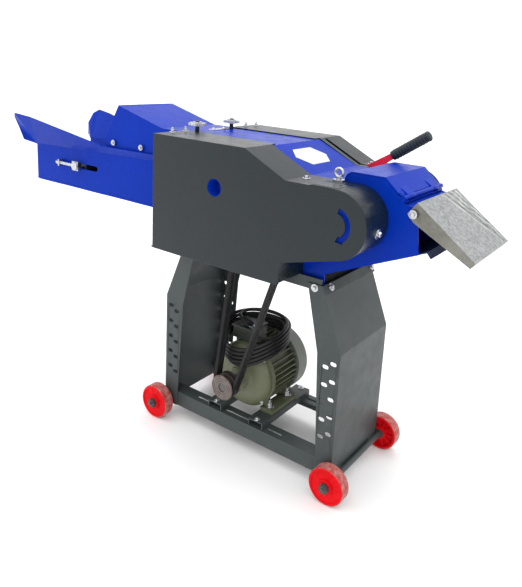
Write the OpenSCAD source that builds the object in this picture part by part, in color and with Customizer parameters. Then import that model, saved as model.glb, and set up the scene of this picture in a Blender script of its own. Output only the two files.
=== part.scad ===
// Electric chaff cutter on a wheeled stand, in millimetres.
// X runs from the feed trough to the outlet, Y across the machine, Z up from the floor.

/* [Stand] */
// Length of the stand over its end panels, at the foot
stand_l = 600; // [560:5:640]
// Length of the stand at its top
stand_top_l = 468; // [450:2:490]
// Width of the stand over its leg faces
stand_w = 256; // [250:1:262]
// Height of the underside of the lower rails above the floor
rail_z = 43; // [38:1:46]
// Height of the bend in the legs
kink_z = 393; // [360:1:420]
// Height of the top of the stand
stand_top_z = 559; // [553:1:563]
// Thickness of the end panels
stand_sheet = 3; // [2:0.5:4]
// Width of a leg at its foot
leg_foot_w = 48; // [44:1:54]
// Width of a leg at its bend
leg_kink_w = 68; // [62:1:74]
// Width of a leg at its top
leg_top_w = 44; // [40:1:50]
// Size of the angle used for the rails
rail_size = 45; // [40:1:50]
// Thickness of the rail angle
rail_t = 4; // [3:0.5:5]

/* [Leg slots] */
// Length of a leg slot
slot_l = 18; // [14:1:20]
// Height of a leg slot
slot_h = 11; // [8:1:13]
// Rows of slots in each leg
slot_rows = 5; // [3:1:5]
// Spacing of the rows
slot_pitch = 49; // [45:1:52]
// Height of the top row
slot_top_z = 364; // [350:1:370]
// Distance of the outer slots from the edge of the leg
slot_edge = 19; // [16:1:22]
// Spacing of the two slots in a row
slot_gap = 22; // [20:1:24]
// Drop from the outer slot to the inner one
slot_drop = 14; // [10:1:16]

/* [Wheels] */
// Diameter of a wheel
wheel_d = 102; // [90:1:104]
// Width of a wheel
wheel_w = 36; // [30:1:40]
// Diameter of an axle
axle_d = 16; // [12:1:18]
// Gap from a leg face to its wheel
wheel_gap = 6; // [4:1:10]
// Number of ribs in a wheel
wheel_ribs = 10; // [6:1:14]

/* [Body] */
// Half width of the body over its side walls
wall_y = 113; // [110:1:116]
// Thickness of the side walls
wall_t = 4; // [3:0.5:5]
// Front end of the body
body_x0 = -255; // [-257:1:-252]
// Height of the flat top of the body
body_top_z = 883; // [880:1:890]
// End of the flat top, where the slope starts
slope_x0 = 49; // [45:1:55]
// Foot of the slope
slope_x1 = 171; // [165:1:176]
// Height of the seat behind the slope
seat_z = 826; // [822:1:830]
// Sheet of the pans, covers and trough
sheet_t = 3; // [2:0.5:4]
// Running gap between covers that open
cover_gap = 0.5; // [0.3:0.1:1]

/* [Rotors] */
// Place of the knife shaft along the machine
knife_x = 88; // [86:1:90]
// Height of the knife shaft
knife_z = 743; // [741:1:745]
// Radius that the knives sweep
knife_r = 95; // [90:1:96]
// Place of the thrower shaft along the machine
throw_x = 305.5; // [304:0.5:308]
// Height of the thrower shaft
throw_z = 746.5; // [745:0.5:748]
// Radius that the paddles sweep
throw_r = 85; // [78:1:86]
// Radius of the thrower chamber
chamber_r = 114; // [110:1:116]
// Diameter of the knife shaft
shaft_d = 30; // [26:1:32]
// Diameter of the thrower shaft
throw_shaft_d = 28; // [24:1:30]
// Number of knives, and of paddles
blade_count = 4; // [2:1:6]
// Running clearance of shafts in their bearings, on the radius
run_gap = 0.05; // [0.02:0.01:0.1]

/* [Feed] */
// Place of the feed rollers along the machine
roller_x = -58; // [-60:1:-56]
// Radius of a feed roller over its teeth
roller_r = 32; // [28:0.5:32.5]
// Teeth on a feed roller
roller_teeth = 12; // [8:1:16]
// Module of the timing gears
timing_m = 3.5; // [3.4:0.1:3.6]
// Teeth on each timing gear
timing_n = 20; // [20:1:21]
// Module of the feed gears
feed_m = 3; // [3:0.05:3.1]
// Teeth on the feed pinion
pinion_n = 18; // [17:1:19]
// Teeth on the feed gear
gear_n = 82; // [81:1:83]
// Lift of the upper roller
float_lift = 15; // [10:1:18]
// Place of the spring bolts along the machine
spring_x = -243; // [-244:1:-230]
// Distance of the spring bolts from the middle
spring_y = 75; // [70:1:80]

/* [Trough] */
// Front end of the trough
trough_x0 = -950; // [-980:5:-920]
// Underside of the trough
trough_z0 = 647; // [640:1:655]
// Height of the trough wall at the front
trough_front_z = 772; // [766:1:778]
// Height of the trough wall at the body
trough_back_z = 796; // [790:1:800]
// Front tip of the wings
wing_x0 = -1005; // [-1040:5:-1000]
// Height of the wing tips
wing_z = 868; // [850:1:880]
// Spread of the wings beyond the side walls
wing_out = 62; // [50:1:70]
// Top of the feed hood
hood_top_z = 932; // [920:1:945]
// Place of the top edge of the feed hood
hood_top_x = -530; // [-545:1:-515]
// Place of the front lip of the feed hood
hood_lip_x = -593; // [-605:1:-580]
// Place of the idler of the feed belt
idler_x = -724; // [-730:1:-700]
// Height of the feed belt rollers
belt_z = 720; // [716:1:722]
// Radius of the feed belt rollers
belt_roller_r = 24; // [20:0.5:24.5]
// Place of the rear roller of the feed belt
belt_rear_x = -123; // [-130:1:-122]
// Thickness of the feed belt
belt_t = 4; // [3:0.5:4.5]

/* [Guards] */
// Depth of a guard from the body wall to its face
guard_d = 112; // [108:1:120]
// Front end of the guards
guard_x0 = -261; // [-264:1:-259]
// Step under the tongue of the guards
guard_x1 = 165; // [160:1:168]
// Underside of the guards
guard_z0 = 574; // [565:1:578]
// How far the tongue's radius falls short of the drive pulley's
tongue_drop = 10; // [8:1:14]
// Rise of the underside of the tongue, in degrees
tongue_tilt = 15; // [12:1:17]
// Diameter of the sight hole
sight_d = 45; // [35:1:55]
// Place of the sight hole along the machine
sight_x = -43; // [-60:1:-30]
// Height of the sight hole
sight_z = 774; // [760:1:790]
// Outer radius of the turning arrow
arrow_r = 43; // [38:1:48]
// Width of the arrow band
arrow_w = 13; // [10:1:16]

/* [Drive] */
// Place of the motor shaft along the machine
motor_x = -30; // [-34:1:-26]
// Height of the motor shaft above its feet
motor_h = 100; // [96:1:104]
// Diameter of the motor pulley
motor_pulley_d = 72; // [66:1:80]
// Diameter of the drive pulley
drive_pulley_d = 180; // [170:1:184]
// Diameter of the thrower pulley
throw_pulley_d = 120; // [112:1:124]
// Spacing of the belt grooves
groove_pitch = 16; // [15:0.5:17]
// Middle of the outermost groove from the middle of the machine
groove_y = 172; // [170:1:176]
// Width of the V-belts
vbelt_w = 13; // [12:0.5:13.5]
// Height of the V-belts
vbelt_h = 8; // [7:0.5:9]
// Radius of the motor over its fins
motor_r = 95; // [88:1:96]
// Fins round the motor
fin_count = 36; // [24:2:48]
// Radius of the fan cowl
cowl_r = 101; // [98:1:104]

/* [Outlet] */
// Place of the deflector pivot along the machine
pivot_x = 447.5; // [446:0.5:449]
// Height of the deflector pivot
pivot_z = 781.5; // [780:0.5:783]
// Length of the deflector
deflector_l = 178; // [160:1:200]
// Fall of the deflector, in degrees
deflector_fall = 36.8; // [34:0.1:40]
// Half width of the deflector
deflector_y = 121; // [120:0.5:124]
// Depth of the deflector sides at the pivot
deflector_side = 40; // [36:1:44]

/* [Lever] */
// Angle of the lever at rest, in degrees
lever_rest = 34; // [33:1:38]
// Swing of the lever, in degrees
lever_swing = 64; // [55:1:66]
// Length of the lever from its pivot
lever_l = 333; // [300:1:350]
// Length of the grip
grip_l = 118; // [100:1:130]
// Diameter of the grip
grip_d = 28; // [24:1:32]

/* [Cord] */
// Diameter of the power cable
cable_d = 10; // [9:0.1:10.1]
// Radius of the inner layer of loops
coil_r = 83.5; // [83:0.5:86]
// Step between the two layers
layer_step = 12.5; // [12.4:0.1:13.5]
// Rise of each loop
loop_pitch = 11.8; // [11.6:0.1:12.4]
// Loops in the first inner layer
loops_in = 2.5; // [1.5:1:2.5]
// Loops in the outer layer
loops_out = 4; // [3:1:5]
// Sag of the loops over the motor's front
coil_droop = 50; // [40:1:55]

/* [Hidden] */
$fn = 64;

blue = [0.08, 0.2, 0.75];
slate = [0.22, 0.25, 0.28];
stand_grey = [0.28, 0.33, 0.33];
zinc = [0.75, 0.76, 0.78];
steel = [0.6, 0.6, 0.62];
red = [0.85, 0.04, 0.06];
rubber = [0.08, 0.08, 0.08];
olive = [0.45, 0.5, 0.38];
seat_gap = 0.3;
eps = 0.01;

// Frame of reference: the middle of the whole outline on the floor
fall_dir = [cos(deflector_fall), -sin(deflector_fall)];
fall_down = [-sin(deflector_fall), -cos(deflector_fall)];
pivot_s = 11.5;
pivot_n = 24.6;
deflector_top = [pivot_x, pivot_z] - pivot_s * fall_dir - pivot_n * fall_down;
deflector_tip = deflector_top + deflector_l * fall_dir;
shift_x = -(wing_x0 + deflector_tip[0]) / 2;

leg_y = stand_w / 2;
foot_x = stand_l / 2;
top_x = stand_top_l / 2;
wheel_z = wheel_d / 2;
axle_x = foot_x + axle_d / 2 + seat_gap;
wheel_y = leg_y + wheel_gap;
wall_in = wall_y - wall_t;
feed_d = feed_m * (pinion_n + gear_n) / 2;
roller_z = knife_z - sqrt(feed_d * feed_d - (knife_x - roller_x) * (knife_x - roller_x));
upper_z = roller_z + timing_m * timing_n;
guard_y = wall_y + guard_d;
guard_top_z = body_top_z + sheet_t;
motor_foot_z = rail_z + rail_size + 20;
motor_z = motor_foot_z + motor_h;
bearing_l = 17;
journal_d = 25;
timing_y = wall_y + 20;
timing_w = 14;
gear_y = timing_y + timing_w + 5;
gear_w = 12;
lever_y = wall_y + 20;
lever_t = 8;
lever_boss_r = 31;
tail_r = 9;

// Builds a flat outline, drawn in X and Z, between two places across the machine
module plate_y(y0, y1) {
    translate([0, y1, 0])
        rotate([90, 0, 0])
            linear_extrude(y1 - y0)
                children();
}

// Turns a profile of radius and Y about a cross axis
module turn_y(x, z) {
    translate([x, 0, z])
        rotate([-90, 0, 0])
            rotate_extrude()
                children();
}

module rod_y(x, z, y0, y1, r) {
    translate([x, y0, z])
        rotate([-90, 0, 0])
            cylinder(h = y1 - y0, r = r);
}

// Puts a piece on both sides of the machine
module both_sides() {
    children();
    mirror([0, 1, 0])
        children();
}

module place() {
    translate([shift_x, 0, 0])
        children();
}

function arc(c, r, a0, a1, n) = [for (i = [0:n]) let (a = a0 + (a1 - a0) * i / n)
    c + r * [cos(a), sin(a)]];
function reversed(list) = [for (i = [len(list) - 1:-1:0]) list[i]];
function along(path, f) = path[0] + (path[1] - path[0]) * f;

// Outline of a straight-flanked gear with a tooth on the X axis
function gear_points(m, n, slack) = [for (i = [0:n - 1], k = [0:3])
    let (rp = m * n / 2,
        r = (k == 0 || k == 3) ? rp - 1.2 * m : rp + 0.85 * m,
        half = (PI * m / 4 - slack / 2 - (r - rp) * tan(20)) / r * 180 / PI,
        a = i * 360 / n + (k < 2 ? -half : half))
    r * [cos(a), sin(a)]];
gear_slack = 0.7;

// Tube swept along points, with each ring square to the path
function unit(v) = v / norm(v);
function tangent(p, i) = unit(p[min(i + 1, len(p) - 1)] - p[max(i - 1, 0)]);
module tube(p, r, sides) {
    rings = [for (i = [0:len(p) - 1], k = [0:sides - 1])
        let (t = tangent(p, i), s = unit(cross(t, [0, 0, 1])), u = cross(s, t), a = k * 360 / sides)
        p[i] + r * (cos(a) * s + sin(a) * u)];
    last = (len(p) - 1) * sides;
    walls = [for (i = [0:len(p) - 2], k = [0:sides - 1])
        let (a = i * sides + k, b = i * sides + (k + 1) % sides)
        each [[a, a + sides, b], [b, a + sides, b + sides]]];
    caps = [for (k = [1:sides - 2]) each [[0, k, k + 1], [last, last + k + 1, last + k]]];
    polyhedron(rings, concat(walls, caps));
}

// Flat sheet between four corners, thickened by a vector
module sheet(c, v) {
    polyhedron(concat(c, [for (q = c) q + v]),
        [[0, 2, 1], [0, 3, 2], [4, 5, 6], [4, 6, 7], [0, 1, 4], [1, 5, 4], [1, 2, 5], [2, 6, 5],
         [2, 3, 6], [3, 7, 6], [3, 0, 7], [0, 4, 7]]);
}

// Stand
function leg_points() = [[foot_x, rail_z], [foot_x, kink_z], [top_x, stand_top_z],
    [top_x - leg_top_w, stand_top_z], [foot_x - leg_kink_w, kink_z - 12], [foot_x - leg_foot_w, rail_z]];

module slot_cut(x, z) {
    for (s = [-1, 1])
        rod_y(x + s * (slot_l - slot_h) / 2, z, -leg_y - 1, -leg_y + stand_sheet + 1, slot_h / 2);
    translate([x - (slot_l - slot_h) / 2, -leg_y - 1, z - slot_h / 2])
        cube([slot_l - slot_h, stand_sheet + 2, slot_h]);
}

module end_panel() {
    lean = atan2(foot_x - top_x, stand_top_z - kink_z);
    web_t = stand_sheet;
    top_t = stand_sheet / cos(lean);
    bend_t = stand_sheet * tan(lean / 2);
    plate_y(-leg_y, leg_y)
        polygon([[foot_x, rail_z], [foot_x, kink_z], [top_x, stand_top_z], [top_x - top_t, stand_top_z],
            [foot_x - web_t, kink_z - bend_t], [foot_x - web_t, rail_z]]);
    both_sides()
        difference() {
            plate_y(-leg_y, -leg_y + stand_sheet)
                polygon(leg_points());
            for (i = [0:slot_rows - 1]) {
                z = slot_top_z - i * slot_pitch;
                slot_cut(foot_x - slot_edge, z);
                slot_cut(foot_x - slot_edge - slot_gap, z - slot_drop);
            }
        }
}

module right_end_panel() { color(stand_grey) place() end_panel(); }
module left_end_panel() { color(stand_grey) place() mirror([1, 0, 0]) end_panel(); }

// Angle rail along X with its flat on top, inside the near legs
module lower_rail() {
    x_half = lower_rail_half;
    z_top = lower_rail_top;
    y0 = -leg_y + stand_sheet;
    difference() {
        union() {
            translate([-x_half, y0, z_top - rail_size])
                cube([2 * x_half, rail_t, rail_size]);
            translate([-x_half, y0, z_top - rail_t])
                cube([2 * x_half, rail_size, rail_t]);
        }
        for (x = motor_rail_x, s = [-1, 1])
            translate([x + s * motor_slot_x - 25, y0 + rail_size / 2 - 4, z_top - rail_t - 1])
                cube([50, 8, rail_t + 2]);
    }
}
motor_rail_w = 50;
motor_rail_x = [motor_x - 75, motor_x + 75];
motor_slot_x = 56;
lower_rail_half = foot_x - stand_sheet - seat_gap;
top_rail_half = top_x - stand_sheet - 2;
lower_rail_top = rail_z + rail_size;

module near_lower_rail() { color(stand_grey) place() lower_rail(); }
module far_lower_rail() { color(stand_grey) place() mirror([0, 1, 0]) lower_rail(); }
deck_z = stand_top_z - 13;

// Angle rail under the body, its upright closing the gap to the guard
module top_rail() {
    y0 = -leg_y + stand_sheet;
    translate([-top_rail_half, y0, deck_z - rail_t]) {
        cube([2 * top_rail_half, rail_size, rail_t]);
        cube([2 * top_rail_half, rail_t, guard_z0 - 1 - deck_z + rail_t]);
    }
}
module near_top_rail() { color(stand_grey) place() top_rail(); }
module far_top_rail() { color(stand_grey) place() mirror([0, 1, 0]) top_rail(); }

// Two channels across the lower rails that carry the motor
module motor_rails() {
    rail_drop = motor_foot_z - lower_rail_top;
    y1 = leg_y - stand_sheet - rail_t;
    color(stand_grey)
        place()
            for (x = motor_rail_x)
                translate([x - motor_rail_w / 2, -y1, lower_rail_top])
                    difference() {
                        cube([motor_rail_w, 2 * y1, rail_drop]);
                        translate([rail_t, -1, -1])
                            cube([motor_rail_w - 2 * rail_t, 2 * y1 + 2, rail_drop - rail_t + 1]);
                    }
}

// Axle across one end, held to the panel by two lugs
module axle() {
    end_y = wheel_y + wheel_w + 2;
    nut_h = 9;
    rod_y(axle_x, wheel_z, -end_y, end_y, axle_d / 2);
    for (s = [-1, 1]) {
        rod_y(axle_x, wheel_z, s > 0 ? wheel_y - 5 : -wheel_y + 1, s > 0 ? wheel_y - 1 : -wheel_y + 5, 13);
        translate([axle_x, s * (end_y - 1), wheel_z])
            rotate([s > 0 ? -90 : 90, 0, 0])
                cylinder(h = nut_h, r = 14, $fn = 6);
        translate([foot_x, s * leg_y * 0.7 - 15, wheel_z - 7])
            cube([axle_x - foot_x, 30, 14]);
    }
}
module right_axle() { color(steel) place() axle(); }
module left_axle() { color(steel) place() mirror([1, 0, 0]) axle(); }

// Moulded wheel with hub, web, rim and ribs; its inner face is at Y = 0
module wheel() {
    rim_w = 8;
    hub_r = 20;
    web = 8;
    r = wheel_d / 2;
    rim_in = r - rim_w;
    crown = 3;
    bore = axle_d / 2 + run_gap;
    turn_y(0, 0)
        polygon([[bore, 0], [hub_r, 0], [hub_r, (wheel_w - web) / 2], [rim_in, (wheel_w - web) / 2],
            [rim_in, 1], [r - crown, 1], [r, 1 + crown], [r, wheel_w - 1 - crown], [r - crown, wheel_w - 1],
            [rim_in, wheel_w - 1], [rim_in, (wheel_w + web) / 2], [hub_r, (wheel_w + web) / 2],
            [hub_r, wheel_w], [bore, wheel_w]]);
    for (i = [0:wheel_ribs - 1])
        rotate([0, i * 360 / wheel_ribs, 0])
            translate([hub_r - 1, 6, -1.5])
                cube([rim_in - hub_r + 2, wheel_w - 12, 3]);
}
module wheel_at(sx, sy) {
    color(red)
        place()
            translate([sx * axle_x, 0, wheel_z])
                mirror([0, sy < 0 ? 1 : 0, 0])
                    translate([0, wheel_y, 0])
                        wheel();
}
module wheel_near_left() { wheel_at(-1, -1); }
module wheel_near_right() { wheel_at(1, -1); }
module wheel_far_left() { wheel_at(-1, 1); }
module wheel_far_right() { wheel_at(1, 1); }

// Body
chamber_corner_r = 24;
chamber_corner = [throw_x - 42.5 + chamber_corner_r, throw_z + 104.5 - chamber_corner_r];
chamber_flat_x = throw_x + 62.5;
hinge_x = throw_x + 110;
hinge_z = throw_z + 63;
hinge_r = 6;
hood_slope = atan2(chamber_corner[1] + chamber_corner_r - hinge_z, hinge_x - chamber_flat_x);
outlet_tilt = 23.7;
outlet_dir = [cos(outlet_tilt), sin(outlet_tilt)];
outlet_up = [-sin(outlet_tilt), cos(outlet_tilt)];
outlet_foot = [throw_x, throw_z] - (chamber_r + sheet_t) * outlet_up;
outlet_end = outlet_foot + 122 * outlet_dir;

// Upper outline of the thrower chamber, drawn in by t from the outside of its hood
function chamber_top(t) = concat(
    arc(chamber_corner, chamber_corner_r - t, 180, 90, 8),
    [[chamber_flat_x - t * tan(hood_slope / 2), chamber_corner[1] + chamber_corner_r - t],
     [hinge_x - 2 * hinge_r - t * sin(hood_slope),
      hinge_z + 2 * hinge_r * tan(hood_slope) - t * cos(hood_slope)]]);

wall_foot = [-215, 228];
wall_front_z = 600;
function wall_points() = concat(
    [[wall_foot[0], deck_z], [wall_foot[1], deck_z],
     [wall_foot[1], outlet_foot[1] + (wall_foot[1] - outlet_foot[0]) * tan(outlet_tilt)],
     outlet_end, [pivot_x + 4, pivot_z + 12], [hinge_x + 3, hinge_z - 2 * hinge_r],
     [hinge_x - 2 * hinge_r, hinge_z - 2 * hinge_r]],
    reversed(chamber_top(sheet_t + cover_gap)),
    [[chamber_corner[0] - chamber_corner_r + sheet_t + cover_gap, seat_z - wall_t],
     [slope_x1, seat_z - wall_t], [slope_x0, body_top_z - wall_t], [body_x0, body_top_z - wall_t],
     [body_x0, wall_front_z]]);

module side_wall(window) {
    bores = [[knife_x, knife_z, shaft_d], [throw_x, throw_z, throw_shaft_d],
        [roller_x, roller_z, journal_d], [belt_rear_x, belt_z, 2 * tail_r]];
    difference() {
        plate_y(-wall_y, -wall_in)
            polygon(wall_points());
        for (b = bores)
            rod_y(b[0], b[1], -wall_y - 1, -wall_in + 1, b[2] / 2 + 1);
        // Window for the floating roller's journal and its travel
        if (window)
            translate([roller_x - window_half, -wall_y - 1, upper_z - window_drop])
                cube([2 * window_half, wall_t + 2, body_top_z - upper_z + window_drop]);
        rod_y(pivot_x, pivot_z, -wall_y - 1, -wall_in + 1, pivot_r);
    }
    // Foot flange on the top rail, with its bolt
    for (x = [wall_foot[0] + 25, wall_foot[1] - 40]) {
        translate([x - 30, -wall_in, deck_z])
            cube([60, 20, wall_t]);
        translate([x, -wall_in + 11, deck_z + wall_t])
            cylinder(h = 6, r = 7.5, $fn = 6);
    }
}
pivot_r = 5;
window_half = 32;
window_drop = 26;
module near_side_wall() { color(blue) place() side_wall(false); }
module far_side_wall() { color(blue) place() mirror([0, 1, 0]) side_wall(true); }

// Round pan under the knives
module knife_pan() {
    r = knife_r + 8;
    pan_a0 = 206;
    pan_a1 = 348;
    color(blue)
        place()
            plate_y(-wall_in, wall_in)
                polygon(concat(arc([knife_x, knife_z], r + sheet_t, pan_a0, pan_a1, 40),
                    reversed(arc([knife_x, knife_z], r, pan_a0, pan_a1, 40))));
}

// Bent cover over the feed rollers and knives
module top_plate() {
    back_x = chamber_corner[0] - chamber_corner_r - 2;
    color(blue)
        place()
            difference() {
                plate_y(-wall_y, wall_y)
                    polygon([[body_x0, body_top_z], [slope_x0, body_top_z], [slope_x1, seat_z],
                        [back_x, seat_z], [back_x, seat_z - wall_t], [slope_x1, seat_z - wall_t],
                        [slope_x0, body_top_z - wall_t], [body_x0, body_top_z - wall_t]]);
                for (s = [-1, 1])
                    translate([spring_x, s * spring_y, body_top_z - wall_t - 1])
                        cylinder(h = wall_t + 2, r = spring_bolt_r + 1);
            }
}
spring_bolt_r = 6;

// Round bottom of the thrower chamber with its straight outlet
module chamber_pan() {
    c = [throw_x, throw_z];
    tangent_a = 270 + outlet_tilt;
    straight = 142;
    lip = 14;
    function out(r, s) = c - r * outlet_up + s * outlet_dir;
    r = chamber_r + sheet_t;
    color(blue)
        place()
            plate_y(-wall_in, wall_in)
                polygon(concat(arc(c, r, 193, tangent_a, 24), [out(r, straight), out(r + lip, straight + 4),
                    out(r + lip, straight + 4 + sheet_t), out(r - sheet_t, straight + sheet_t)],
                    reversed(arc(c, chamber_r, 193, tangent_a, 24))));
}

// Lifting lid of the thrower chamber, with the knuckles of its hinge
knuckle_y = 70;
knuckle_l = 34;
module chamber_hood() {
    cheek_y = wall_in - 2;
    y0 = -knuckle_l / 2;
    y1 = knuckle_l / 2;
    color(blue)
        place() {
            plate_y(-wall_y, wall_y)
                polygon(concat(chamber_top(0), reversed(chamber_top(sheet_t))));
            both_sides()
                plate_y(-cheek_y, -cheek_y + sheet_t)
                    polygon(concat(chamber_top(sheet_t), [[hinge_x - 3 * hinge_r, hinge_z - hinge_r],
                        [chamber_corner[0] - chamber_corner_r + sheet_t, chamber_corner[1] - 4]]));
            for (s = [-1, 1])
                translate([0, s * knuckle_y, 0])
                    difference() {
                        union() {
                            rod_y(hinge_x, hinge_z, y0, y1, hinge_r);
                            plate_y(y0, y1)
                                polygon([[hinge_x, hinge_z + hinge_r],
                                    along([chamber_top(0)[10], chamber_top(0)[9]], 0.3),
                                    chamber_top(sheet_t)[10], [hinge_x, hinge_z]]);
                        }
                        rod_y(hinge_x, hinge_z, y0 - 1, y1 + 1, hinge_pin_r + run_gap);
                    }
        }
}
hinge_pin_r = 3;

// Pin of the hood hinge with the fixed knuckles at its middle and ends
module hinge_pin() {
    gap = 0.6;
    knuckle_in = knuckle_y - knuckle_l / 2 - gap;
    knuckle_out = knuckle_y + knuckle_l / 2 + gap;
    color(blue)
        place() {
            rod_y(hinge_x, hinge_z, -wall_y, wall_y, hinge_pin_r);
            rod_y(hinge_x, hinge_z, -knuckle_in, knuckle_in, hinge_r);
            for (y = [-wall_y, knuckle_out])
                rod_y(hinge_x, hinge_z, y, y + wall_y - knuckle_out, hinge_r);
            translate([hinge_x - hinge_r, -wall_y, hinge_z - 2 * hinge_r])
                difference() {
                    cube([hinge_r + 3, 2 * wall_y, 2 * hinge_r]);
                    for (s = [-1, 1])
                        translate([-1, wall_y + s * knuckle_y - knuckle_l / 2 - gap, hinge_r - 1 - gap])
                            cube([hinge_r + 5, knuckle_l + 2 * gap, 2 * hinge_r]);
                }
        }
}

// Eye bolt that holds the guard down beside the hood
module hood_lock() {
    lock_x = throw_x - 49;
    lock_y = -wall_y - 16;
    eye_r = 10;
    color(zinc)
        place()
            translate([lock_x, lock_y, tongue_top]) {
                cylinder(h = 4, r = 14);
                cylinder(h = 10, r = 6);
                translate([0, 0, 10 + eye_r])
                    rotate([90, 0, 0])
                        rotate_extrude()
                            translate([eye_r, 0])
                                circle(3.5, $fn = 24);
            }
}

// Sheet deflector over the outlet, with its pivot bolts
module deflector() {
    t = 2;
    tip_side = 17;
    p = function (s, n) deflector_top + s * fall_dir + n * fall_down;
    color(zinc)
        place() {
            plate_y(-deflector_y, deflector_y)
                polygon([p(0, 0), p(deflector_l, 0), p(deflector_l, t), p(0, t)]);
            plate_y(-deflector_y, deflector_y)
                polygon([p(deflector_l - t, 0), p(deflector_l, 0), p(deflector_l, tip_side),
                    p(deflector_l - t, tip_side)]);
            both_sides() {
                plate_y(-deflector_y, -deflector_y + t)
                    polygon([p(0, 0), p(deflector_l, 0), p(deflector_l, tip_side),
                        p(pivot_s + 12, deflector_side), p(0, deflector_side - 4)]);
                rod_y(pivot_x, pivot_z, -deflector_y - 6, -deflector_y + eps, 8.5);
                rod_y(pivot_x, pivot_z, -deflector_y, -wall_y - seat_gap, 9);
                rod_y(pivot_x, pivot_z, -deflector_y, -wall_in, pivot_r - run_gap);
            }
        }
}

// Guards
tongue_r = drive_pulley_d / 2 - tongue_drop;
tongue_top = throw_z + tongue_r;
slope_a = atan2(guard_top_z - tongue_top, slope_x1 - slope_x0);
function slope_at(z, t) = slope_x1 + (-t - (z - tongue_top) * cos(slope_a)) / sin(slope_a);
function guard_points(t) =
    let (r = tongue_r - t,
        low = [throw_x, throw_z] + r * [sin(tongue_tilt), -cos(tongue_tilt)],
        step_z = low[1] - (low[0] - guard_x1 + t) * tan(tongue_tilt))
    concat([[guard_x0 + t, guard_z0 + t], [guard_x1 - t, guard_z0 + t], [guard_x1 - t, step_z]],
        arc([throw_x, throw_z], r, tongue_tilt - 90, 90, 24),
        [[slope_at(tongue_top - t, t), tongue_top - t], [slope_at(guard_top_z - t, t), guard_top_z - t],
         [guard_x0 + t, guard_top_z - t]]);

// Open-backed shell over one side of the drive
module guard() {
    mouth_x0 = -110;
    mouth_x1 = 150;
    lip = 20;
    difference() {
        union() {
            difference() {
                plate_y(-guard_y, -wall_y)
                    polygon(guard_points(0));
                plate_y(-guard_y + sheet_t, -wall_y + 1)
                    polygon(guard_points(sheet_t));
            }
            // Flange that lies on the top plate
            translate([body_x0, -wall_y - 1, body_top_z])
                cube([slope_x0 - body_x0 - 4, 20, sheet_t]);
        }
        translate([mouth_x0, -guard_y + lip, guard_z0 - 1])
            cube([mouth_x1 - mouth_x0, guard_d - lip - 8, sheet_t + 2]);
    }
}

// Turning arrow cut through the face, pointing down round the shaft
module arrow_cut() {
    tip_a = -80;
    head = 22;
    mid = arrow_r - arrow_w / 2;
    translate([throw_x, 0, throw_z])
        plate_y(-guard_y - 1, -guard_y + sheet_t + 1) {
            polygon(concat(arc([0, 0], arrow_r, tip_a + 24, 74, 20), reversed(arc([0, 0], arrow_r - arrow_w,
                tip_a + 24, 74, 20))));
            polygon([for (q = [[mid, tip_a], [mid - head / 2, tip_a + 25], [mid + head / 2, tip_a + 25]])
                q[0] * [cos(q[1]), sin(q[1])]]);
        }
}

module near_guard() {
    color(slate)
        place()
            difference() {
                guard();
                rod_y(sight_x, sight_z, -guard_y - 1, -guard_y + sheet_t + 1, sight_d / 2);
                arrow_cut();
            }
}

// Far guard, with the slot that the lever swings in
module far_guard() {
    slot_half = lever_t / 2 + 3;
    mid = lever_y + lever_t / 2;
    color(slate)
        place()
            difference() {
                mirror([0, 1, 0])
                    guard();
                translate([knife_x, 0, knife_z])
                    plate_y(mid - slot_half, mid + slot_half)
                        polygon(concat([[0, 0]],
                            arc([0, 0], 230, lever_rest - 7, lever_rest + lever_swing + 6, 12)));
            }
}

// Feed
belt_slot = 17;
takeup_x0 = idler_x - 87;
function trough_rim(x) = trough_front_z
    + (trough_back_z - trough_front_z) * (x - trough_x0) / (body_x0 - trough_x0);
// Near wall of the trough; its wing, end facet and narrow rim are folded out
module trough_side() {
    fold_x = hood_lip_x;
    fold_z = trough_rim(fold_x);
    root_y = wall_y - wall_t / 2;
    rear_x = guard_x0 - 1;
    tip_y = -wall_y - wing_out;
    crease = [trough_x0 + 40, tip_y + 10, wing_z - 8];
    nose = [wing_x0 + 6, tip_y + 12, wing_z - 14];
    v = [0, 1.7, 1.5];
    tuck = 9;
    difference() {
        plate_y(-wall_y, -wall_in)
            polygon([[trough_x0, trough_z0], [body_x0, trough_z0], [body_x0, trough_back_z],
                [trough_x0, trough_front_z]]);
        for (x = [idler_x - 20, idler_x + 84])
            rod_y(x, belt_z, -wall_y - 1, -wall_in + 1, belt_slot / 2);
        translate([idler_x - 20, -wall_y - 1, belt_z - belt_slot / 2])
            cube([104, wall_t + 2, belt_slot]);
    }
    sheet([[trough_x0, -root_y, trough_front_z - tuck], [fold_x, -root_y, fold_z - tuck],
        [fold_x, -wall_y - 14, fold_z + 16], crease], v);
    sheet([[trough_x0, -root_y, trough_front_z - tuck], crease, [wing_x0 + 26, tip_y, wing_z], nose], v);
    sheet([[trough_x0, -root_y, trough_front_z - tuck], nose, [wing_x0, tip_y + wing_out / 2, wing_z - 50],
        [wing_x0 + 12, -wall_y - 22, trough_front_z + 4]], v);
    sheet([[fold_x, -root_y, fold_z - tuck], [rear_x, -root_y, trough_back_z - tuck - 2],
        [rear_x, -wall_y - 12, trough_back_z + 8], [fold_x, -wall_y - 14, fold_z + 16]], v);
}
module feed_trough() {
    color(blue)
        place() {
            translate([trough_x0, -wall_y, trough_z0])
                cube([body_x0 - trough_x0, 2 * wall_y, sheet_t]);
            both_sides()
                trough_side();
        }
}

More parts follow.
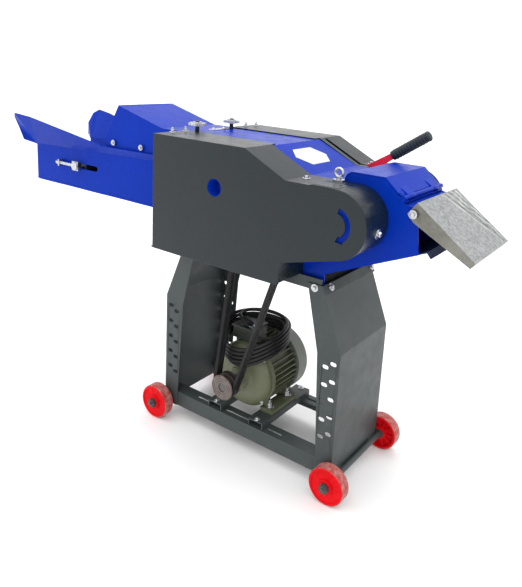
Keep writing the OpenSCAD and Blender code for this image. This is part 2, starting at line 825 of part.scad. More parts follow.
// Sheet hood over the end of the trough
module feed_hood() {
    lip_z = 824;
    tail_x = -344;
    color(blue)
        place() {
            both_sides()
                plate_y(-wall_y, -wall_in)
                    polygon([[hood_lip_x + 9, trough_rim(hood_lip_x + 9)], [body_x0, trough_back_z],
                        [body_x0, body_top_z], [tail_x, body_top_z], [hood_top_x, hood_top_z],
                        [hood_lip_x, lip_z]]);
            plate_y(-wall_in - eps, wall_in + eps)
                polygon([[hood_top_x, hood_top_z], [tail_x, body_top_z], [body_x0, body_top_z],
                    [body_x0, body_top_z - sheet_t], [tail_x - 1, body_top_z - sheet_t],
                    [hood_top_x, hood_top_z - sheet_t - 0.2]]);
            // Outer bolts that hold it to the trough
            both_sides()
                for (x = [hood_lip_x + 45, hood_lip_x + 167])
                    rod_y(x, lip_z - 7, -wall_y - 6, -wall_y, 7);
        }
}

belt_gap = 0.4;
belt_y = wall_in - 6;
module feed_belt() {
    r = belt_roller_r + belt_gap;
    module loop(q) {
        for (x = [idler_x, belt_rear_x])
            translate([x, belt_z])
                circle(q);
        translate([idler_x, belt_z - q])
            square([belt_rear_x - idler_x, 2 * q]);
    }
    slats = 13;
    slat_step = (belt_rear_x - idler_x) / slats;
    color(rubber)
        place() {
            plate_y(-belt_y, belt_y)
                difference() {
                    loop(r + belt_t);
                    loop(r);
                }
            for (i = [0:slats - 1])
                translate([idler_x + (i + 0.5) * slat_step - 4, -belt_y, belt_z + r + belt_t - eps])
                    cube([8, 2 * belt_y, 6]);
        }
}

module belt_roller(x, end_y) {
    rod_y(x, belt_z, -belt_y, belt_y, belt_roller_r);
    rod_y(x, belt_z, -end_y, end_y, tail_r - 1);
}
module idler_roller() { color(steel) place() belt_roller(idler_x, wall_y + 8); }
module rear_belt_roller() { color(steel) place() belt_roller(belt_rear_x, wall_y + bearing_l); }

// Bearing blocks of the idler, pulled by their screws
module takeup_screws() {
    block = 30;
    block_d = 16;
    lug_t = 6;
    screw_y = wall_y + 10;
    color(zinc)
        place()
            both_sides() {
                difference() {
                    union() {
                        translate([idler_x - block / 2, -wall_y - block_d, belt_z - block / 2])
                            cube([block, block_d, block]);
                        rod_y(idler_x, belt_z, -wall_y - block_d - 4, -wall_y - block_d + 1, 14);
                    }
                    rod_y(idler_x, belt_z, -wall_y - 9, -wall_y + 1, tail_r - 1 + run_gap);
                }
                translate([takeup_x0 - 16, -screw_y, belt_z])
                    rotate([0, 90, 0])
                        cylinder(h = idler_x - block / 2 - takeup_x0 + 17, r = 5);
                translate([takeup_x0, -screw_y - 8, belt_z - 11])
                    cube([lug_t, screw_y + 8 - wall_y, 22]);
                translate([takeup_x0 - 8, -screw_y, belt_z])
                    rotate([0, 90, 0])
                        cylinder(h = 9, r = 9, $fn = 6);
            }
}

// Fixed knife between the lower roller and the knives
module ledger_knife() {
    edge_x = knife_x - knife_r - 2.5;
    back_x = roller_x + roller_r + 1.5;
    color(steel)
        place()
            plate_y(-wall_in, wall_in)
                polygon([[back_x, roller_z - 24], [edge_x - 2, roller_z - 24], [edge_x, knife_z - 3],
                    [edge_x, knife_z], [back_x + 3, knife_z - 4], [back_x + 1, roller_z + 16]]);
}

// Knife rotor
rotor_y = wall_in - 8;
module knife_shaft() {
    color(steel)
        place()
            rod_y(knife_x, knife_z, -groove_y - 11, gear_y + gear_w + 4, shaft_d / 2);
}
carrier_hub_r = 32;
knife_seat_r = 62;
module knife_carrier() {
    plate_w = 12;
    color(slate)
        place()
            translate([knife_x, 0, knife_z])
                difference() {
                    for (y = [-rotor_y + 10, -plate_w / 2, rotor_y - 10 - plate_w]) {
                        turn_y(0, 0)
                            translate([shaft_d / 2 - 1, y])
                                square([carrier_hub_r - shaft_d / 2 + 1, plate_w]);
                        for (i = [0:blade_count - 1])
                            rotate([0, i * 360 / blade_count, 0])
                                translate([carrier_hub_r - 6, y, -13])
                                    cube([knife_seat_r - carrier_hub_r + 6, plate_w, 26]);
                    }
                    rod_y(0, 0, -rotor_y, rotor_y, shaft_d / 2 + 0.02);
                }
}

// Straight knives, bevelled at the sweep circle
module knives() {
    blade_t = 9;
    color(zinc)
        place()
            translate([knife_x, 0, knife_z])
                for (i = [0:blade_count - 1])
                    rotate([0, i * 360 / blade_count, 0])
                        plate_y(-rotor_y, rotor_y)
                            polygon([[knife_seat_r, -13], [knife_r - 14, -13], [knife_r - 3, -13 + blade_t],
                                [knife_seat_r, -13 + blade_t]]);
}

module pulley(x, z, d, y0, y1, grooves, bore) {
    r = d / 2;
    mouth = vbelt_w / 2 + 2 * seat_gap;
    root = (vbelt_w / 2 + seat_gap) * 0.62 + 2 * seat_gap;
    difference() {
        rod_y(x, z, y0, y1, r);
        rod_y(x, z, y0 - 1, y1 + 1, bore / 2 + 0.02);
        for (y = grooves)
            turn_y(x, z)
                polygon([[r + 1, y - mouth], [r + 1, y + mouth], [r - vbelt_h - 2, y + root],
                    [r - vbelt_h - 2, y - root]]);
    }
}
grooves = [-groove_y, -groove_y + groove_pitch, -groove_y + 2 * groove_pitch];
pulley_y0 = -groove_y - 9;
pulley_y1 = grooves[2] + 9;
module drive_pulley() {
    web_r0 = 34;
    color(slate)
        place()
            difference() {
                pulley(knife_x, knife_z, drive_pulley_d, pulley_y0, pulley_y1, grooves, shaft_d);
                turn_y(knife_x, knife_z)
                    polygon([[web_r0, pulley_y0 - 1], [drive_pulley_d / 2 - 18, pulley_y0 - 1],
                        [drive_pulley_d / 2 - 18, pulley_y0 + 12], [web_r0, pulley_y0 + 12]]);
            }
}
module thrower_pulley() {
    color(slate)
        place()
            pulley(throw_x, throw_z, throw_pulley_d, grooves[2] - 9, pulley_y1, [grooves[2]],
                throw_shaft_d);
}
motor_shaft_d = 24;
module motor_pulley() {
    color([0.42, 0.36, 0.33])
        place()
            pulley(motor_x, motor_z, motor_pulley_d, pulley_y0, grooves[1] + 9, [grooves[0], grooves[1]],
                motor_shaft_d);
}

// V-belt round two pulleys: an arc on each and two straight runs, clear of the groove sides
module vbelt(a, da, b, db, y) {
    w = vbelt_w / 2;
    flank = w * 0.62;
    inset = 0.6;
    ra = da / 2 - inset;
    rb = db / 2 - inset;
    span = norm(b - a);
    mid_a = atan2(b[1] - a[1], b[0] - a[0]);
    lean = acos((ra - rb) / span);
    run = span * sin(lean);
    section = [[-vbelt_h, -flank], [0, -w], [0, w], [-vbelt_h, flank]];
    module bend(c, r, a0, a1) {
        translate([c[0], y, c[1]])
            rotate([-90, 0, 0])
                rotate(-a1)
                    rotate_extrude(angle = a1 - a0)
                        translate([r, 0])
                            polygon(section);
    }
    bend(a, ra, mid_a + lean, mid_a + 360 - lean);
    bend(b, rb, mid_a - lean, mid_a + lean);
    for (s = [-1, 1]) {
        n_a = mid_a + s * lean;
        from = a + ra * [cos(n_a), sin(n_a)];
        translate([from[0], y, from[1]])
            rotate([0, -n_a, 0])
                translate([0, 0, (s > 0 ? -run : 0) - eps])
                    linear_extrude(run + 2 * eps)
                        polygon(section);
    }
}
module motor_belts() {
    color(rubber)
        place()
            for (y = [grooves[0], grooves[1]])
                vbelt([motor_x, motor_z], motor_pulley_d, [knife_x, knife_z], drive_pulley_d, y);
}
module thrower_belt() {
    color(rubber)
        place()
            vbelt([knife_x, knife_z], drive_pulley_d, [throw_x, throw_z], throw_pulley_d, grooves[2]);
}

// Feed gears
feed_a = atan2(knife_z - roller_z, knife_x - roller_x);
module feed_pinion() {
    color(steel)
        place()
            difference() {
                translate([knife_x, 0, knife_z])
                    plate_y(gear_y, gear_y + gear_w)
                        rotate(feed_a + 180 + 180 / pinion_n)
                            polygon(gear_points(feed_m, pinion_n, gear_slack));
                rod_y(knife_x, knife_z, gear_y - 1, gear_y + gear_w + 1, shaft_d / 2 + 0.02);
            }
}
module feed_gear() {
    color(steel)
        place()
            difference() {
                union() {
                    translate([roller_x, 0, roller_z]) {
                        plate_y(gear_y, gear_y + gear_w)
                            difference() {
                                rotate(feed_a)
                                    polygon(gear_points(feed_m, gear_n, gear_slack));
                                for (i = [0:5])
                                    rotate(i * 60)
                                        translate([75, 0])
                                            circle(24);
                            }
                        plate_y(timing_y, timing_y + timing_w)
                            rotate(90)
                                polygon(gear_points(timing_m, timing_n, gear_slack));
                    }
                    rod_y(roller_x, roller_z, timing_y + timing_w - 1, gear_y + 1, 24);
                }
                rod_y(roller_x, roller_z, timing_y - 1, gear_y + gear_w + 1, journal_d / 2 + 0.02);
            }
}
module upper_timing_gear() {
    color(steel)
        place()
            difference() {
                translate([roller_x, 0, upper_z])
                    plate_y(timing_y, timing_y + timing_w)
                        rotate(180 / timing_n - 90)
                            polygon(gear_points(timing_m, timing_n, gear_slack));
                rod_y(roller_x, upper_z, timing_y - 1, timing_y + timing_w + 1, journal_d / 2 + 0.02);
            }
}

// Toothed feed rollers
roller_y = wall_in - 17;
module toothed_roller(z, y0, y1) {
    tooth_h = 6;
    rod_y(roller_x, z, y0, y1, journal_d / 2);
    translate([roller_x, 0, z])
        plate_y(-roller_y, roller_y)
            polygon([for (i = [0:roller_teeth - 1], k = [0:2])
                let (a = (i + [0, 0.55, 0.7][k]) * 360 / roller_teeth,
                    r = roller_r - [tooth_h, 0, tooth_h][k])
                r * [cos(a), sin(a)]]);
}
module lower_roller() {
    color(steel)
        place()
            toothed_roller(roller_z, -wall_y - bearing_l, gear_y + gear_w);
}
module upper_roller() {
    color(steel)
        place()
            toothed_roller(upper_z, -arm_y - arm_t - 1, timing_y + timing_w);
}

// Sprung frame that carries the upper roller
arm_y = roller_y + 4;
arm_t = 8;
bar_z = body_top_z - wall_t - float_lift - 14;
module float_frame() {
    bar_h = 14;
    bar_w = 22;
    color(slate)
        place() {
            both_sides()
                difference() {
                    plate_y(-arm_y - arm_t, -arm_y)
                        polygon([[spring_x - bar_w / 2, bar_z - bar_h], [roller_x - 26, bar_z - bar_h],
                            [roller_x - 20, upper_z - 18], [roller_x + 20, upper_z - 18],
                            [roller_x + 22, bar_z], [spring_x - bar_w / 2, bar_z]]);
                    rod_y(roller_x, upper_z, -arm_y - arm_t - 1, -arm_y + 1, journal_d / 2 + run_gap);
                }
            translate([spring_x - bar_w / 2, -arm_y - 1, bar_z - bar_h])
                cube([bar_w, 2 * arm_y + 2, bar_h]);
            for (s = [-1, 1])
                translate([spring_x, s * spring_y, bar_z - 1])
                    cylinder(h = nut_z + 16 - bar_z, r = spring_bolt_r);
        }
}
nut_z = body_top_z + 16;

// Springs that press the frame down, between its bar and the top plate
module roller_springs() {
    wire_r = 1.8;
    mean_r = spring_bolt_r + 5;
    turns = 3.5;
    free = body_top_z - wall_t - bar_z - 2 * wire_r - 2 * seat_gap;
    color(steel)
        place()
            for (s = [-1, 1])
                translate([spring_x, s * spring_y, bar_z + wire_r + seat_gap])
                    tube([for (i = [0:turns * 12]) [mean_r * cos(i * 30), mean_r * sin(i * 30),
                        free * i / (turns * 12)]], wire_r, 6);
}

// Scalloped hand nut on a spring bolt
module hand_nut(s) {
    lobes = 6;
    rim_r = 25;
    color(zinc)
        place()
            translate([spring_x, s * spring_y, nut_z])
                difference() {
                    union() {
                        cylinder(h = 12, r = 13);
                        translate([0, 0, 2])
                            cylinder(h = 7, r = rim_r - 3);
                        for (i = [0:lobes - 1])
                            rotate(i * 360 / lobes)
                                translate([rim_r - 5, 0, 2])
                                    cylinder(h = 7, r = 6);
                    }
                    translate([0, 0, -1])
                        cylinder(h = 20, r = spring_bolt_r + run_gap);
                }
}
module near_hand_nut() { hand_nut(-1); }
module far_hand_nut() { hand_nut(1); }

// Thrower rotor, welded up on its shaft
module thrower_rotor() {
    hub_r = 30;
    disc_t = 8;
    paddle_y = rotor_y - 2;
    color(slate)
        place()
            translate([throw_x, 0, throw_z]) {
                rod_y(0, 0, grooves[2] - 12, wall_y + bearing_l + 2, throw_shaft_d / 2);
                for (y = [-rotor_y, rotor_y - disc_t])
                    rod_y(0, 0, y, y + disc_t, 62);
                rod_y(0, 0, -paddle_y, paddle_y, hub_r);
                for (i = [0:blade_count - 1])
                    rotate([0, i * 360 / blade_count + 25, 0])
                        translate([hub_r - 4, -paddle_y, -5])
                            cube([throw_r - hub_r + 3.5, 2 * paddle_y, 10]);
            }
}

// Flanged bearings of the shafts, on the outside of the walls
module bearing(x, z, y, d, l, r) {
    flange_t = 6;
    difference() {
        union() {
            rod_y(x, z, y, y + l, r);
            rod_y(x, z, y, y + flange_t, r + 12);
        }
        rod_y(x, z, y - 1, y + l + 1, d / 2 + run_gap);
    }
}
module shaft_bearings() {
    small = [[knife_x, knife_z, shaft_d, 26], [throw_x, throw_z, throw_shaft_d, 26],
        [roller_x, roller_z, journal_d, 19], [belt_rear_x, belt_z, 2 * tail_r - 2, 14]];
    color(steel)
        place() {
            for (b = small)
                mirror([0, 1, 0])
                    bearing(b[0], b[1], wall_y, b[2], bearing_l, b[3]);
            for (i = [1:3])
                bearing(small[i][0], small[i][1], wall_y, small[i][2], bearing_l, small[i][3]);
            bearing(knife_x, knife_z, wall_y, shaft_d, lever_y + lever_t + 3 - wall_y, lever_boss_r);
        }
}

// Motor
bell_y0 = -112;
core_y0 = -62;
core_y1 = 50;
motor_core_r = motor_r - 15;
module motor_body() {
    foot_l = 120;
    foot_t = 12;
    pad_h = 30;
    color(olive)
        place()
            difference() {
                union() {
                    translate([motor_x, 0, motor_z])
                        plate_y(core_y0, core_y1) {
                            circle(motor_core_r);
                            for (i = [0:fin_count - 1])
                                rotate(i * 360 / fin_count)
                                    translate([motor_core_r - 4, -1.5])
                                        square([motor_r - motor_core_r + 4, 3]);
                        }
                    for (s = [-1, 1])
                        translate([motor_x + s * 75 - 22, -70, motor_foot_z])
                            cube([44, foot_l, foot_t]);
                    for (s = [-1, 1], y = [-58, 26])
                        translate([motor_x + s * 62 - 9, y, motor_foot_z])
                            cube([18, 12, motor_h - 45]);
                    translate([box_x - box_half, core_y0 + 2, box_z - pad_h])
                        cube([2 * box_half, coil_y + box_half - core_y0 - 2, pad_h]);
                }
                rod_y(motor_x, motor_z, core_y0 - 1, core_y1 + 1, stator_r);
            }
}
box_gap = 6;
stator_r = 40;

// Domed front end shield with its shaft bearing
module motor_bell() {
    rim_r = motor_r - 1;
    bore = motor_shaft_d / 2 + run_gap;
    color(olive)
        place()
            difference() {
                turn_y(motor_x, motor_z)
                    polygon(concat([[bore, bell_y0], [30, bell_y0], [34, bell_y0 + 8]],
                        [for (i = [0:10]) let (a = 90 - i * 9)
                            [44 + (rim_r - 44) * cos(a), core_y0 - 12 - 26 * sin(a)]],
                        [[rim_r + 3, core_y0 - 12], [rim_r + 3, core_y0], [bore, core_y0]]));
                for (s = [-1, 1])
                    translate([motor_x + s * 75 - 24, -71, motor_foot_z - 1])
                        cube([48, 10, 22]);
            }
}

// Fan cowl with air slots in its end
module fan_cowl() {
    end_y = core_y1 + cowl_l;
    round_r = 16;
    t = 2;
    c = [cowl_r - round_r, end_y - round_r];
    seat_r = motor_core_r - 20;
    color(olive)
        place() {
            difference() {
                turn_y(motor_x, motor_z)
                    polygon(concat([[cowl_r - t, core_y1], [cowl_r, core_y1]], arc(c, round_r, 0, 90, 8),
                        [[0, end_y], [0, end_y - t]], arc(c, round_r - t, 90, 0, 8)));
                for (k = [0:2], i = [0:5])
                    translate([motor_x, 0, motor_z])
                        rotate([0, i * 60, 0])
                            plate_y(end_y - t - 1, end_y + 1)
                                polygon(concat(arc([0, 0], 30 + 20 * k, -22, 22, 6),
                                    reversed(arc([0, 0], 38 + 20 * k, -22, 22, 6))));
            }
            // Ring that seats the cowl on the body
            turn_y(motor_x, motor_z)
                translate([seat_r, core_y1])
                    square([cowl_r - t + eps - seat_r, 3]);
        }
}

// Motor shaft with its rotor core and cooling fan
cowl_l = 55;
module motor_shaft() {
    air_gap = 0.5;
    fan_y = core_y1 + 12;
    fan_t = 6;
    fan_r = cowl_r - 41;
    blade_x = 24;
    blade_l = cowl_r - blade_x - 21;
    blade_w = 20;
    color(steel)
        place() {
            rod_y(motor_x, motor_z, pulley_y0 + 2, fan_y + fan_t + 16, motor_shaft_d / 2);
            rod_y(motor_x, motor_z, core_y0 + 6, core_y1 - 6, stator_r - air_gap);
            rod_y(motor_x, motor_z, fan_y, fan_y + fan_t, fan_r);
            for (i = [0:7])
                translate([motor_x, 0, motor_z])
                    rotate([0, i * 45, 0])
                        translate([blade_x, fan_y + fan_t - 1, -1.5])
                            cube([blade_l, blade_w, 3]);
        }
}

// Terminal box on top of the motor
box_x = motor_x - 17;
coil_x = motor_x + 4;
coil_y = -42;
box_z = motor_z + motor_r + box_gap;
coil_z = box_z + cable_d / 2 + seat_gap;
lead_z = coil_z + loops_in * loop_pitch;
top_loop_z = coil_z + loops_out * loop_pitch;
plug_r = 13;
box_half = 35;
gland_l = 16;
module terminal_box() {
    color(olive)
        place()
            translate([box_x - box_half, coil_y - box_half, box_z]) {
                cube([2 * box_half, 2 * box_half, box_top_z - box_z - 6]);
                translate([-3, -3, box_top_z - box_z - 6])
                    cube([2 * box_half + 6, 2 * box_half + 6, 6]);
            }
}
module cord_gland() {
    color(rubber)
        place()
            translate([box_x + box_half, coil_y + turn_in[1] - bend_r, gland_z])
                rotate([0, 90, 0]) {
                    cylinder(h = 5, r = 10, $fn = 6);
                    translate([0, 0, 5])
                        cylinder(h = gland_l - 5, r1 = 8, r2 = 6.5);
                }
}

// Power cable: in from the gland, down the inner layer, up the outer one and in to the plug
bend_r = 42;
lead_a = 18;
swap = 126;
tail_a = 45;
tail_bend = 110;
wind_a = [lead_a, lead_a + 360 * loops_in, lead_a + 360 * loops_in + swap,
    lead_a + 360 * (loops_in + loops_out) + swap, lead_a + 360 * (loops_in + loops_out) + 2 * swap,
    lead_a + 360 * (loops_in + loops_out) + 2 * swap + tail_a];
function ease(f) = f * f * (3 - 2 * f);
function share(a, a0, a1) = ease(max(0, min(1, (a - a0) / (a1 - a0))));
function wind_r(a) = coil_r
    + layer_step * (share(a, wind_a[1], wind_a[2]) - share(a, wind_a[3], wind_a[4]));
function sag(a) = coil_droop * pow((1 - sin(a)) / 2, 3);
function wind_z(a) = (a < wind_a[1] ? lead_z - (a - lead_a) / 360 * loop_pitch
    : a < wind_a[2] ? coil_z
    : a < wind_a[3] ? coil_z + (a - wind_a[2]) / 360 * loop_pitch : top_loop_z) - sag(a);
gland_climb = 12;
gland_z = lead_z - sag(lead_a) - gland_climb;
plug_z = top_loop_z - sag(wind_a[5]);
box_top_z = plug_z - plug_r - seat_gap;
function polar(r, a) = r * [cos(a), sin(a)];
turn_in = polar(coil_r - bend_r, lead_a);
turn_out = polar(coil_r - bend_r, wind_a[5]);
end_a = wind_a[5] + tail_bend;
tail_end = turn_out + polar(bend_r, end_a);
tail_dir = [-sin(end_a), cos(end_a)];
lead_x0 = box_x - coil_x + box_half + gland_l;
wind_steps = floor((wind_a[5] - wind_a[0]) / 15);
coil_path = concat(
    [[lead_x0, turn_in[1] - bend_r, gland_z], [lead_x0 + cable_d, turn_in[1] - bend_r, gland_z]],
    [for (i = [0:8]) let (q = turn_in + polar(bend_r, -90 + (lead_a + 90) * i / 8))
        if (q[0] > lead_x0 + cable_d + 1) [q[0], q[1], gland_z + gland_climb * ease(i / 8)]],
    [for (i = [1:wind_steps]) let (a = wind_a[0] + i * (wind_a[5] - wind_a[0]) / wind_steps)
        [wind_r(a) * cos(a), wind_r(a) * sin(a), wind_z(a)]],
    [for (i = [1:8]) let (a = wind_a[5] + tail_bend * i / 8)
        [turn_out[0] + bend_r * cos(a), turn_out[1] + bend_r * sin(a), plug_z]],
    [[tail_end[0] + cable_d * tail_dir[0], tail_end[1] + cable_d * tail_dir[1], plug_z]]);
cable_l = [for (i = 0, s = 0; i < len(coil_path); i = i + 1,
    s = s + (i < len(coil_path) ? norm(coil_path[i] - coil_path[i - 1]) : 0)) s];
coil_gap = min([for (i = [0:len(coil_path) - 1], k = [i + 8:1:len(coil_path) - 1])
    norm(coil_path[i] - coil_path[k])]) - cable_d;
echo(least_gap = coil_gap, cable_length = max(cable_l), shift_x = shift_x, roller_z = roller_z);
module cord_coil() {
    color(rubber)
        place()
            translate([coil_x, coil_y, 0])
                tube(coil_path, cable_d / 2, 6);
}

// Moulded plug at the end of the cable, lying on the terminal box
module plug() {
    plug_l = 34;
    relief_l = 10;
    pin_l = 18;
    color(rubber)
        place()
            translate([coil_x + tail_end[0] + cable_d * tail_dir[0],
                coil_y + tail_end[1] + cable_d * tail_dir[1], plug_z])
                rotate([0, 0, end_a])
                    rotate([-90, 0, 0]) {
                        cylinder(h = relief_l, r1 = 6, r2 = 7.5);
                        translate([0, 0, relief_l])
                            cylinder(h = plug_l, r = plug_r);
                        for (s = [-1, 1])
                            translate([s * 6 - 3, -1, relief_l + plug_l])
                                cube([6, 2, pin_l]);
                    }
}

// Lever, turning on the boss of the far knife bearing
grip_x = lever_l - grip_l;
tang_h = 16;
tang_in = 60;
module lever_place() {
    place()
        translate([knife_x, 0, knife_z])
            rotate([0, -lever_rest, 0])
                children();
}
module lever() {
    hub_r = lever_boss_r + 11;
    root_h = 32;
    color(red)
        lever_place()
            difference() {
                plate_y(lever_y, lever_y + lever_t) {
                    circle(hub_r);
                    polygon([[hub_r - 12, -root_h / 2], [grip_x + seat_gap, -tang_h / 2],
                        [grip_x + tang_in, -tang_h / 2], [grip_x + tang_in, tang_h / 2],
                        [grip_x + seat_gap, tang_h / 2], [hub_r - 12, root_h / 2]]);
                }
                rod_y(0, 0, lever_y - 1, lever_y + lever_t + 1, lever_boss_r + run_gap);
            }
}

// Ribbed rubber grip pushed on the end of the lever
module lever_grip() {
    rib_step = 9;
    nose = 6;
    r = grip_d / 2;
    ribs = floor((grip_l - 2 * nose) / rib_step);
    mid = lever_y + lever_t / 2;
    color(rubber)
        lever_place()
            difference() {
                translate([grip_x, mid, 0])
                    rotate([0, 90, 0])
                        rotate_extrude()
                            polygon(concat([[0, 0], [r - 1, 0]],
                                [for (i = [0:ribs - 1]) let (h = nose + i * rib_step)
                                    each [[r - 1, h], [r, h + 2], [r, h + 6], [r - 1, h + 8]]],
                                arc([r - nose, grip_l - nose], nose, 0, 90, 6), [[0, grip_l]]));
                plate_y(mid - lever_t / 2, mid + lever_t / 2)
                    translate([grip_x - 1, -tang_h / 2])
                        square([tang_in + 1, tang_h]);
            }
}

left_end_panel();
right_end_panel();
near_lower_rail();
far_lower_rail();
near_top_rail();
far_top_rail();
motor_rails();
left_axle();
right_axle();
wheel_near_left();
wheel_near_right();
wheel_far_left();
wheel_far_right();
near_side_wall();
far_side_wall();
knife_pan();
top_plate();
chamber_pan();
chamber_hood();
hinge_pin();
hood_lock();
deflector();
near_guard();
far_guard();
feed_trough();
feed_hood();
feed_belt();
idler_roller();
rear_belt_roller();
takeup_screws();
ledger_knife();
knife_shaft();
drive_pulley();
knife_carrier();
knives();
feed_pinion();
thrower_pulley();
thrower_rotor();
lower_roller();
feed_gear();
upper_roller();
upper_timing_gear();
float_frame();
roller_springs();
near_hand_nut();
far_hand_nut();
shaft_bearings();
motor_body();
motor_bell();
fan_cowl();
terminal_box();
cord_gland();
motor_shaft();
motor_pulley();
motor_belts();
thrower_belt();
lever();
lever_grip();
cord_coil();
plug();
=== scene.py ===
import math
import bmesh
import bpy
import numpy as np
from mathutils import Matrix, Vector


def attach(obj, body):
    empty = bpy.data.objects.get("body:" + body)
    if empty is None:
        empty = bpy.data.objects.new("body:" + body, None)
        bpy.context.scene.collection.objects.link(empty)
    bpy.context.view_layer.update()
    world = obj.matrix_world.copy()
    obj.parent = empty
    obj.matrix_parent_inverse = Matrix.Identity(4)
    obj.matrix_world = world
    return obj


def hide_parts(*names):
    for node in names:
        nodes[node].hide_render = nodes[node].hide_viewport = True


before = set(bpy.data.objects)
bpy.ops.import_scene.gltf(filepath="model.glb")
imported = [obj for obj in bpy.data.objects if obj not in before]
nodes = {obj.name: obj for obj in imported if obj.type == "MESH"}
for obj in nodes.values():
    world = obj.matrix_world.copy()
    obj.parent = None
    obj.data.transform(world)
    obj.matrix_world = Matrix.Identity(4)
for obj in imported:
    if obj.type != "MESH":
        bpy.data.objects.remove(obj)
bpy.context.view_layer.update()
scene = bpy.context.scene

# The CAD source measures X from the middle of the stand, in millimetres
standX = 204.721
bothSides = (-1, 1)
up, near, far = (0, 0, 1), (0, -1, 0), (0, 1, 0)

# Axes and pieces that several sections share
motorAxis = dict(x=-30, z=208)
throwerAxis = dict(x=305.5, z=746.5)
deflectorAxis = dict(x=447.5, z=781.5)
wheelAxis = dict(x=308.3, z=51)
wheels = [("wheel_near_left", -1, -1), ("wheel_near_right", 1, -1),
          ("wheel_far_left", -1, 1), ("wheel_far_right", 1, 1)]


def at(x, y, z):
    # A place, or whole arrays of places, from the source's millimetres to the frame's metres
    return np.stack(np.broadcast_arrays(np.add(x, standX), y, z), -1) / 1000


# Camera: turned, raised and rolled as the photograph is
shot = dict(azimuth=34.02, elevation=13.01, roll=3.42, place=(1.1603, -1.3687, 1.0957),
            lens=37.84, shift=(-0.0467, -0.155), clipEnd=60)


def cameraMatrix(c):
    az, el, roll = (math.radians(c[k]) for k in ("azimuth", "elevation", "roll"))
    back = Vector((math.sin(az) * math.cos(el), -math.cos(az) * math.cos(el), math.sin(el)))
    right = Vector((math.cos(az), math.sin(az), 0))
    top = back.cross(right)
    right, top = (right * math.cos(roll) + top * math.sin(roll),
                  top * math.cos(roll) - right * math.sin(roll))
    m = Matrix((right, top, back)).transposed().to_4x4()
    m.translation = Vector(c["place"])
    return m


camera = bpy.data.objects.new("camera", bpy.data.cameras.new("camera"))
scene.collection.objects.link(camera)
camera.matrix_world = cameraMatrix(shot)
camera.data.lens = shot["lens"]
camera.data.shift_x, camera.data.shift_y = shot["shift"]
camera.data.clip_end = shot["clipEnd"]
scene.camera = camera


# Mesh helpers: every piece is a grid of points from a formula
def meshPiece(name, verts, faces, material, body, slot, smooth=True):
    mesh = bpy.data.meshes.new(name)
    mesh.from_pydata(verts.tolist(), [], faces)
    shell = bmesh.new()
    shell.from_mesh(mesh)
    bmesh.ops.recalc_face_normals(shell, faces=shell.faces)  # every part is closed, so outwards
    shell.to_mesh(mesh)
    shell.free()
    mesh.polygons.foreach_set("use_smooth", [smooth] * len(mesh.polygons))
    mesh.update()
    obj = bpy.data.objects.new(name, mesh)
    scene.collection.objects.link(obj)
    obj.data.materials.append(material)
    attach(obj, body)
    return obj


def angles(count):
    return np.arange(count) * 2 * np.pi / count


def between(ends, t):
    # From the first end at t = -1 to the second at t = 1
    return (ends[0] + ends[1]) / 2 + t * (ends[1] - ends[0]) / 2


def rim(u, v, power):
    # Nothing over the middle of a sheet and 1 on its edge: max(|u|, |v|)^power
    return np.maximum(np.abs(u), np.abs(v)) ** power


def quadsOf(index):
    return np.stack([index[:-1, :-1], index[:-1, 1:], index[1:, 1:], index[1:, :-1]], -1).reshape(-1, 4)


def gridFaces(rows, cols):
    # Quads of a tube of rings, with a cap on each end ring
    first = np.arange(cols)
    index = np.arange(rows)[:, None] * cols + np.append(first, 0)
    caps = [first[::-1].tolist(), ((rows - 1) * cols + first).tolist()]
    return quadsOf(index).tolist() + caps


def joinGrids(parts):
    starts = np.cumsum([0] + [len(v) for v, f in parts]).tolist()
    faces = [[i + start for i in q] for (v, f), start in zip(parts, starts) for q in f]
    return np.concatenate([v for v, f in parts]), faces


def frameOf(direction):
    d = np.array(direction, float)
    d /= np.linalg.norm(d)
    s = np.cross([0, 0, 1.0], d) if abs(d[2]) < 0.9 else np.cross([0, 1.0, 0], d)
    s /= np.linalg.norm(s)
    return s, np.cross(d, s), d


def lathe(place, direction, profile, sides, radius=None):
    # P(h, a) = place + h d + r(h, a) (cos a s + sin a u), with h and r in millimetres
    s, u, d = frameOf(direction)
    a = angles(sides)
    rows = np.array(profile, float)
    r = rows[:, 1:2] * np.ones(sides) if radius is None else radius(rows, a)
    spokes = np.cos(a)[:, None] * s + np.sin(a)[:, None] * u
    v = place + (rows[:, :1, None] * d + r[..., None] * spokes) / 1000
    return v.reshape(-1, 3), gridFaces(len(rows), sides)


def ringsAlong(path, s, u, radius, sides):
    # P(t, a) = path(t) + r(t) (cos a s(t) + sin a u(t))
    a = angles(sides)
    ring = np.cos(a)[None, :, None] * s[:, None, :] + np.sin(a)[None, :, None] * u[:, None, :]
    v = path[:, None, :] + np.reshape(radius, (-1, 1, 1)) * ring
    return v.reshape(-1, 3), gridFaces(len(path), sides)


def tubeAlong(path, radius, sides):
    # Round rings square to the path, with s level and u upright
    t = np.gradient(path, axis=0)
    t /= np.linalg.norm(t, axis=1)[:, None]
    s = np.cross(t, [0, 0, 1.0])
    s /= np.linalg.norm(s, axis=1)[:, None]
    return ringsAlong(path, s, np.cross(s, t), radius, sides)


def sheetGrid(surfaceAt, nu, nv, thick):
    # Thin closed sheet: the grid P(u, v), u and v from -1 to 1, the same grid moved by thick,
    # and a band round both
    u, v = np.meshgrid(np.linspace(-1, 1, nu), np.linspace(-1, 1, nv), indexing="ij")
    front = np.stack(np.broadcast_arrays(*surfaceAt(u, v)), -1).reshape(-1, 3)
    n = len(front)
    index = np.arange(n).reshape(nu, nv)
    quads = quadsOf(index)
    ring = np.concatenate([index[0], index[1:, -1], index[-1, -2::-1], index[-2:0:-1, 0]])
    after = np.roll(ring, -1)
    band = np.stack([ring, n + ring, n + after, after], -1)
    faces = np.concatenate([quads, n + quads[:, ::-1], band]).tolist()
    return at(*np.concatenate([front, front + np.array(thick)]).T), faces


